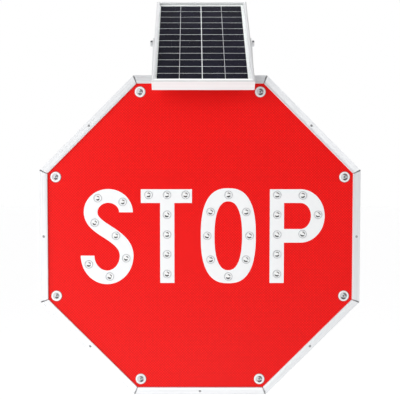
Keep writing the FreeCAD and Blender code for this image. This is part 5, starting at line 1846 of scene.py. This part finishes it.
@dataclass(frozen=True)
class Studio:
    """Pale floor, white surroundings, soft lamps and the camera. Lengths are metres and angles degrees.

    Attributes:
        floor_level: Height of the floor, far below the hanging sign.
        floor_half: Half of its width.
        floor_glow: Strength of the glow that lifts it to white, for all but the light that it throws.
        camera_pitch: How far the camera looks up from level.
        low_world: Colour of the surroundings at the sides and below.
        high_world: Colour of the surroundings straight above.
        high_edge: Heights on the unit sphere between which the one fades to the other.
        front_world: Colour of the surroundings behind the camera.
        front_way: Middle of that dark patch.
        front_edge: Cosines from its middle between which it darkens.
        back_share: Strength of the surroundings behind the sign; towards the camera it is 1.
        back_edge: Y on the unit sphere between which the strength falls to that.
    """

    floor_level: float = -1.5
    floor_half: float = 30.0
    floor_tone: Colour = (0.86, 0.86, 0.86)
    floor_glow: float = 0.50
    camera_place: Triple = (-0.016, -1.229, 0.117)
    camera_pitch: float = -2.15
    camera_lens: float = 56.6
    camera_shift: Point = (0.0210, -0.005)
    camera_clip: Point = (0.05, 100.0)
    low_world: Colour = (1.0, 1.0, 1.0)
    high_world: Colour = (0.07, 0.072, 0.08)
    high_edge: Point = (0.6, 0.98)
    front_world: Colour = (0.08, 0.08, 0.085)
    front_way: Triple = (0.17, -0.98, 0.06)
    front_edge: Point = (0.74, 0.92)
    back_share: float = 0.84
    back_edge: Point = (-0.38, -0.05)

    def floor(self) -> Object:
        """Builds the floor."""
        mesh = bmesh.new()
        bmesh.ops.create_grid(mesh, x_segments=4, y_segments=4, size=self.floor_half)
        bmesh.ops.translate(mesh, verts=mesh.verts, vec=(0, 0, self.floor_level))
        recipe = Recipe("pale_floor")
        mottle = recipe.noise(recipe.coordinates(), scale=3.0)
        recipe.colour(recipe.blend(mottle, scaled(self.floor_tone, 0.98), self.floor_tone))
        recipe.gloss(mottle, 0.75, 0.85)
        glow = recipe.node("ShaderNodeEmission")
        glow.inputs["Strength"].default_value = self.floor_glow
        both = recipe.node("ShaderNodeAddShader")
        for socket, shader in zip(both.inputs, (recipe.shader, glow)):
            recipe.feed(socket, shader.outputs[0])
        seen = recipe.rays("Is Camera Ray", "Is Glossy Ray", "Is Transmission Ray")
        recipe.feed(recipe.surface, recipe.choose(seen, recipe.shader, both))
        floor = in_scene("floor", settled(mesh, "floor"))
        floor.data.materials.append(recipe.material)
        return floor

    def world(self) -> None:
        """Builds the surroundings: plain white for the camera, and shaded for all other rays."""
        world = bpy.data.worlds.new("surroundings")
        bpy.context.scene.world = world
        world.use_nodes = True
        nodes = Nodes(world.node_tree)
        nodes.tree.nodes.clear()
        way = nodes.node("ShaderNodeTexCoord").outputs["Generated"]
        _, back, up = nodes.parts(way)
        facing = nodes.node("ShaderNodeVectorMath", operation="DOT_PRODUCT")
        nodes.feed(facing.inputs[0], way)
        nodes.feed(facing.inputs[1], Vector(self.front_way).normalized())
        shade = nodes.remap(facing.outputs["Value"], self.front_edge, curve="SMOOTHSTEP")
        sky = nodes.blend(nodes.remap(up, self.high_edge), self.low_world, self.high_world)
        lit = nodes.node("ShaderNodeBackground")
        nodes.feed(lit.inputs["Color"], nodes.blend(shade, sky, self.front_world))
        nodes.feed(lit.inputs["Strength"], nodes.remap(back, self.back_edge, (1.0, self.back_share)))
        white = nodes.node("ShaderNodeBackground")
        white.inputs["Color"].default_value = (1.0, 1.0, 1.0, 1.0)
        output = nodes.node("ShaderNodeOutputWorld")
        nodes.feed(output.inputs["Surface"], nodes.choose(nodes.rays("Is Camera Ray"), lit, white))

    def lamps(self) -> list[Object]:
        """Adds the soft lamps."""
        lamps = (
            Lamp("key_left", (-1.55, -1.3, 0.3), (0.0, 0.0, 0.1), (2.2, 2.2), 37.5, mirrored=False),
            Lamp("low_front", (-0.5, -1.6, -1.0), (0.0, 0.0, 0.0), (2.0, 0.7), 5.0),
            Lamp("above", (0.0, 0.1, 1.5), (0.0, 0.05, 0.37), (0.8, 0.5), 13.5, mirrored=False),
            Lamp("high_right", (2.3, -1.3, 1.7), (0.2, 0.0, 0.15), (1.4, 1.4), 7.0),
        )
        return [lamp.build() for lamp in lamps]

    def camera(self) -> Object:
        """Adds the camera at the photograph's viewing angle."""
        data = bpy.data.cameras.new("camera")
        data.lens = self.camera_lens
        data.shift_x, data.shift_y = self.camera_shift
        data.clip_start, data.clip_end = self.camera_clip
        camera = in_scene("camera", data)
        camera.location = self.camera_place
        camera.rotation_euler = (math.radians(90 + self.camera_pitch), 0.0, 0.0)
        bpy.context.scene.camera = camera
        return camera

    def build(self) -> None:
        """Builds the whole studio."""
        self.floor()
        self.world()
        self.lamps()
        self.camera()
        bpy.context.scene.view_settings.view_transform = "Standard"
        LOG.info("studio built")


def main() -> None:
    """Builds the looks of the sign in order."""
    logging.basicConfig(level=logging.INFO, format="%(message)s")
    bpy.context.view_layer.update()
    lean = Lean.read()
    finishes = Finishes(lean.tilt)
    Dressing(finishes).apply()
    clear, white, zinc, black, sheet = (
        finishes.by_slot[slot]
        for slot in ("clear_lens", "white_plastic", "zinc_steel", "black_plastic", "bracket_aluminium")
    )
    Legend().build(solids_of("letter_lenses"), finishes.white_film)
    LetterLens().build(clear, finishes.rim)
    BorderLens().build(clear, white, finishes.shade_ring)
    # The face clip screws take the darker zinc copy, painted shade
    Fastener("face_clip_screws", Facing.FRONT, 2.4, 1.8, 1.5).build("zinc_steel", finishes.shaded_zinc)
    Fastener("back_plate_screws", Facing.REAR, 3.8, 2.4, 2.0).build("zinc_steel", zinc)
    Fastener("bracket_screws", Facing.UP, 4.6, 2.8, 2.5, pitch=0.8).build("zinc_steel", zinc)
    Fastener(
        "rail_rivets", Facing.REAR, 3.8, 1.4, 2.0, Drive.ROUND, 0.6, tail_radius=2.8, tail_length=3.0
    ).build("bracket_aluminium", sheet)
    LensInside(
        "letter_lenses", 4.3, Crescent(2.3, 2.1, 200, 340), Crescent(2.4, 1.6, 0, 110), growth=0.12
    ).build(finishes, finishes.diffuser)
    LensInside(
        "border_lenses", 6.0, Crescent(3.1, 2.4, 222, 340), Crescent(3.0, 2.6, -12, 110),
        growth=0.15, die=1.2,
    ).build(finishes, finishes.silvered)
    PivotSet().build(lean, finishes)
    Gland("housing_gland", Facing.UP, (6.6, 8.0), 2.6, 0.7, 16.0, 4.0, 6.0).build(
        Body.SIGN, UPRIGHT, "black_plastic", black
    )
    Gland("panel_gland", Facing.DOWN, (3.6, 9.0), 1.8, 0.8).build(
        Body.PANEL, lean.seat, "black_plastic", black
    )
    JunctionLid().build(lean, black, zinc)
    Studio().build()


if __name__ == "__main__":
    main()
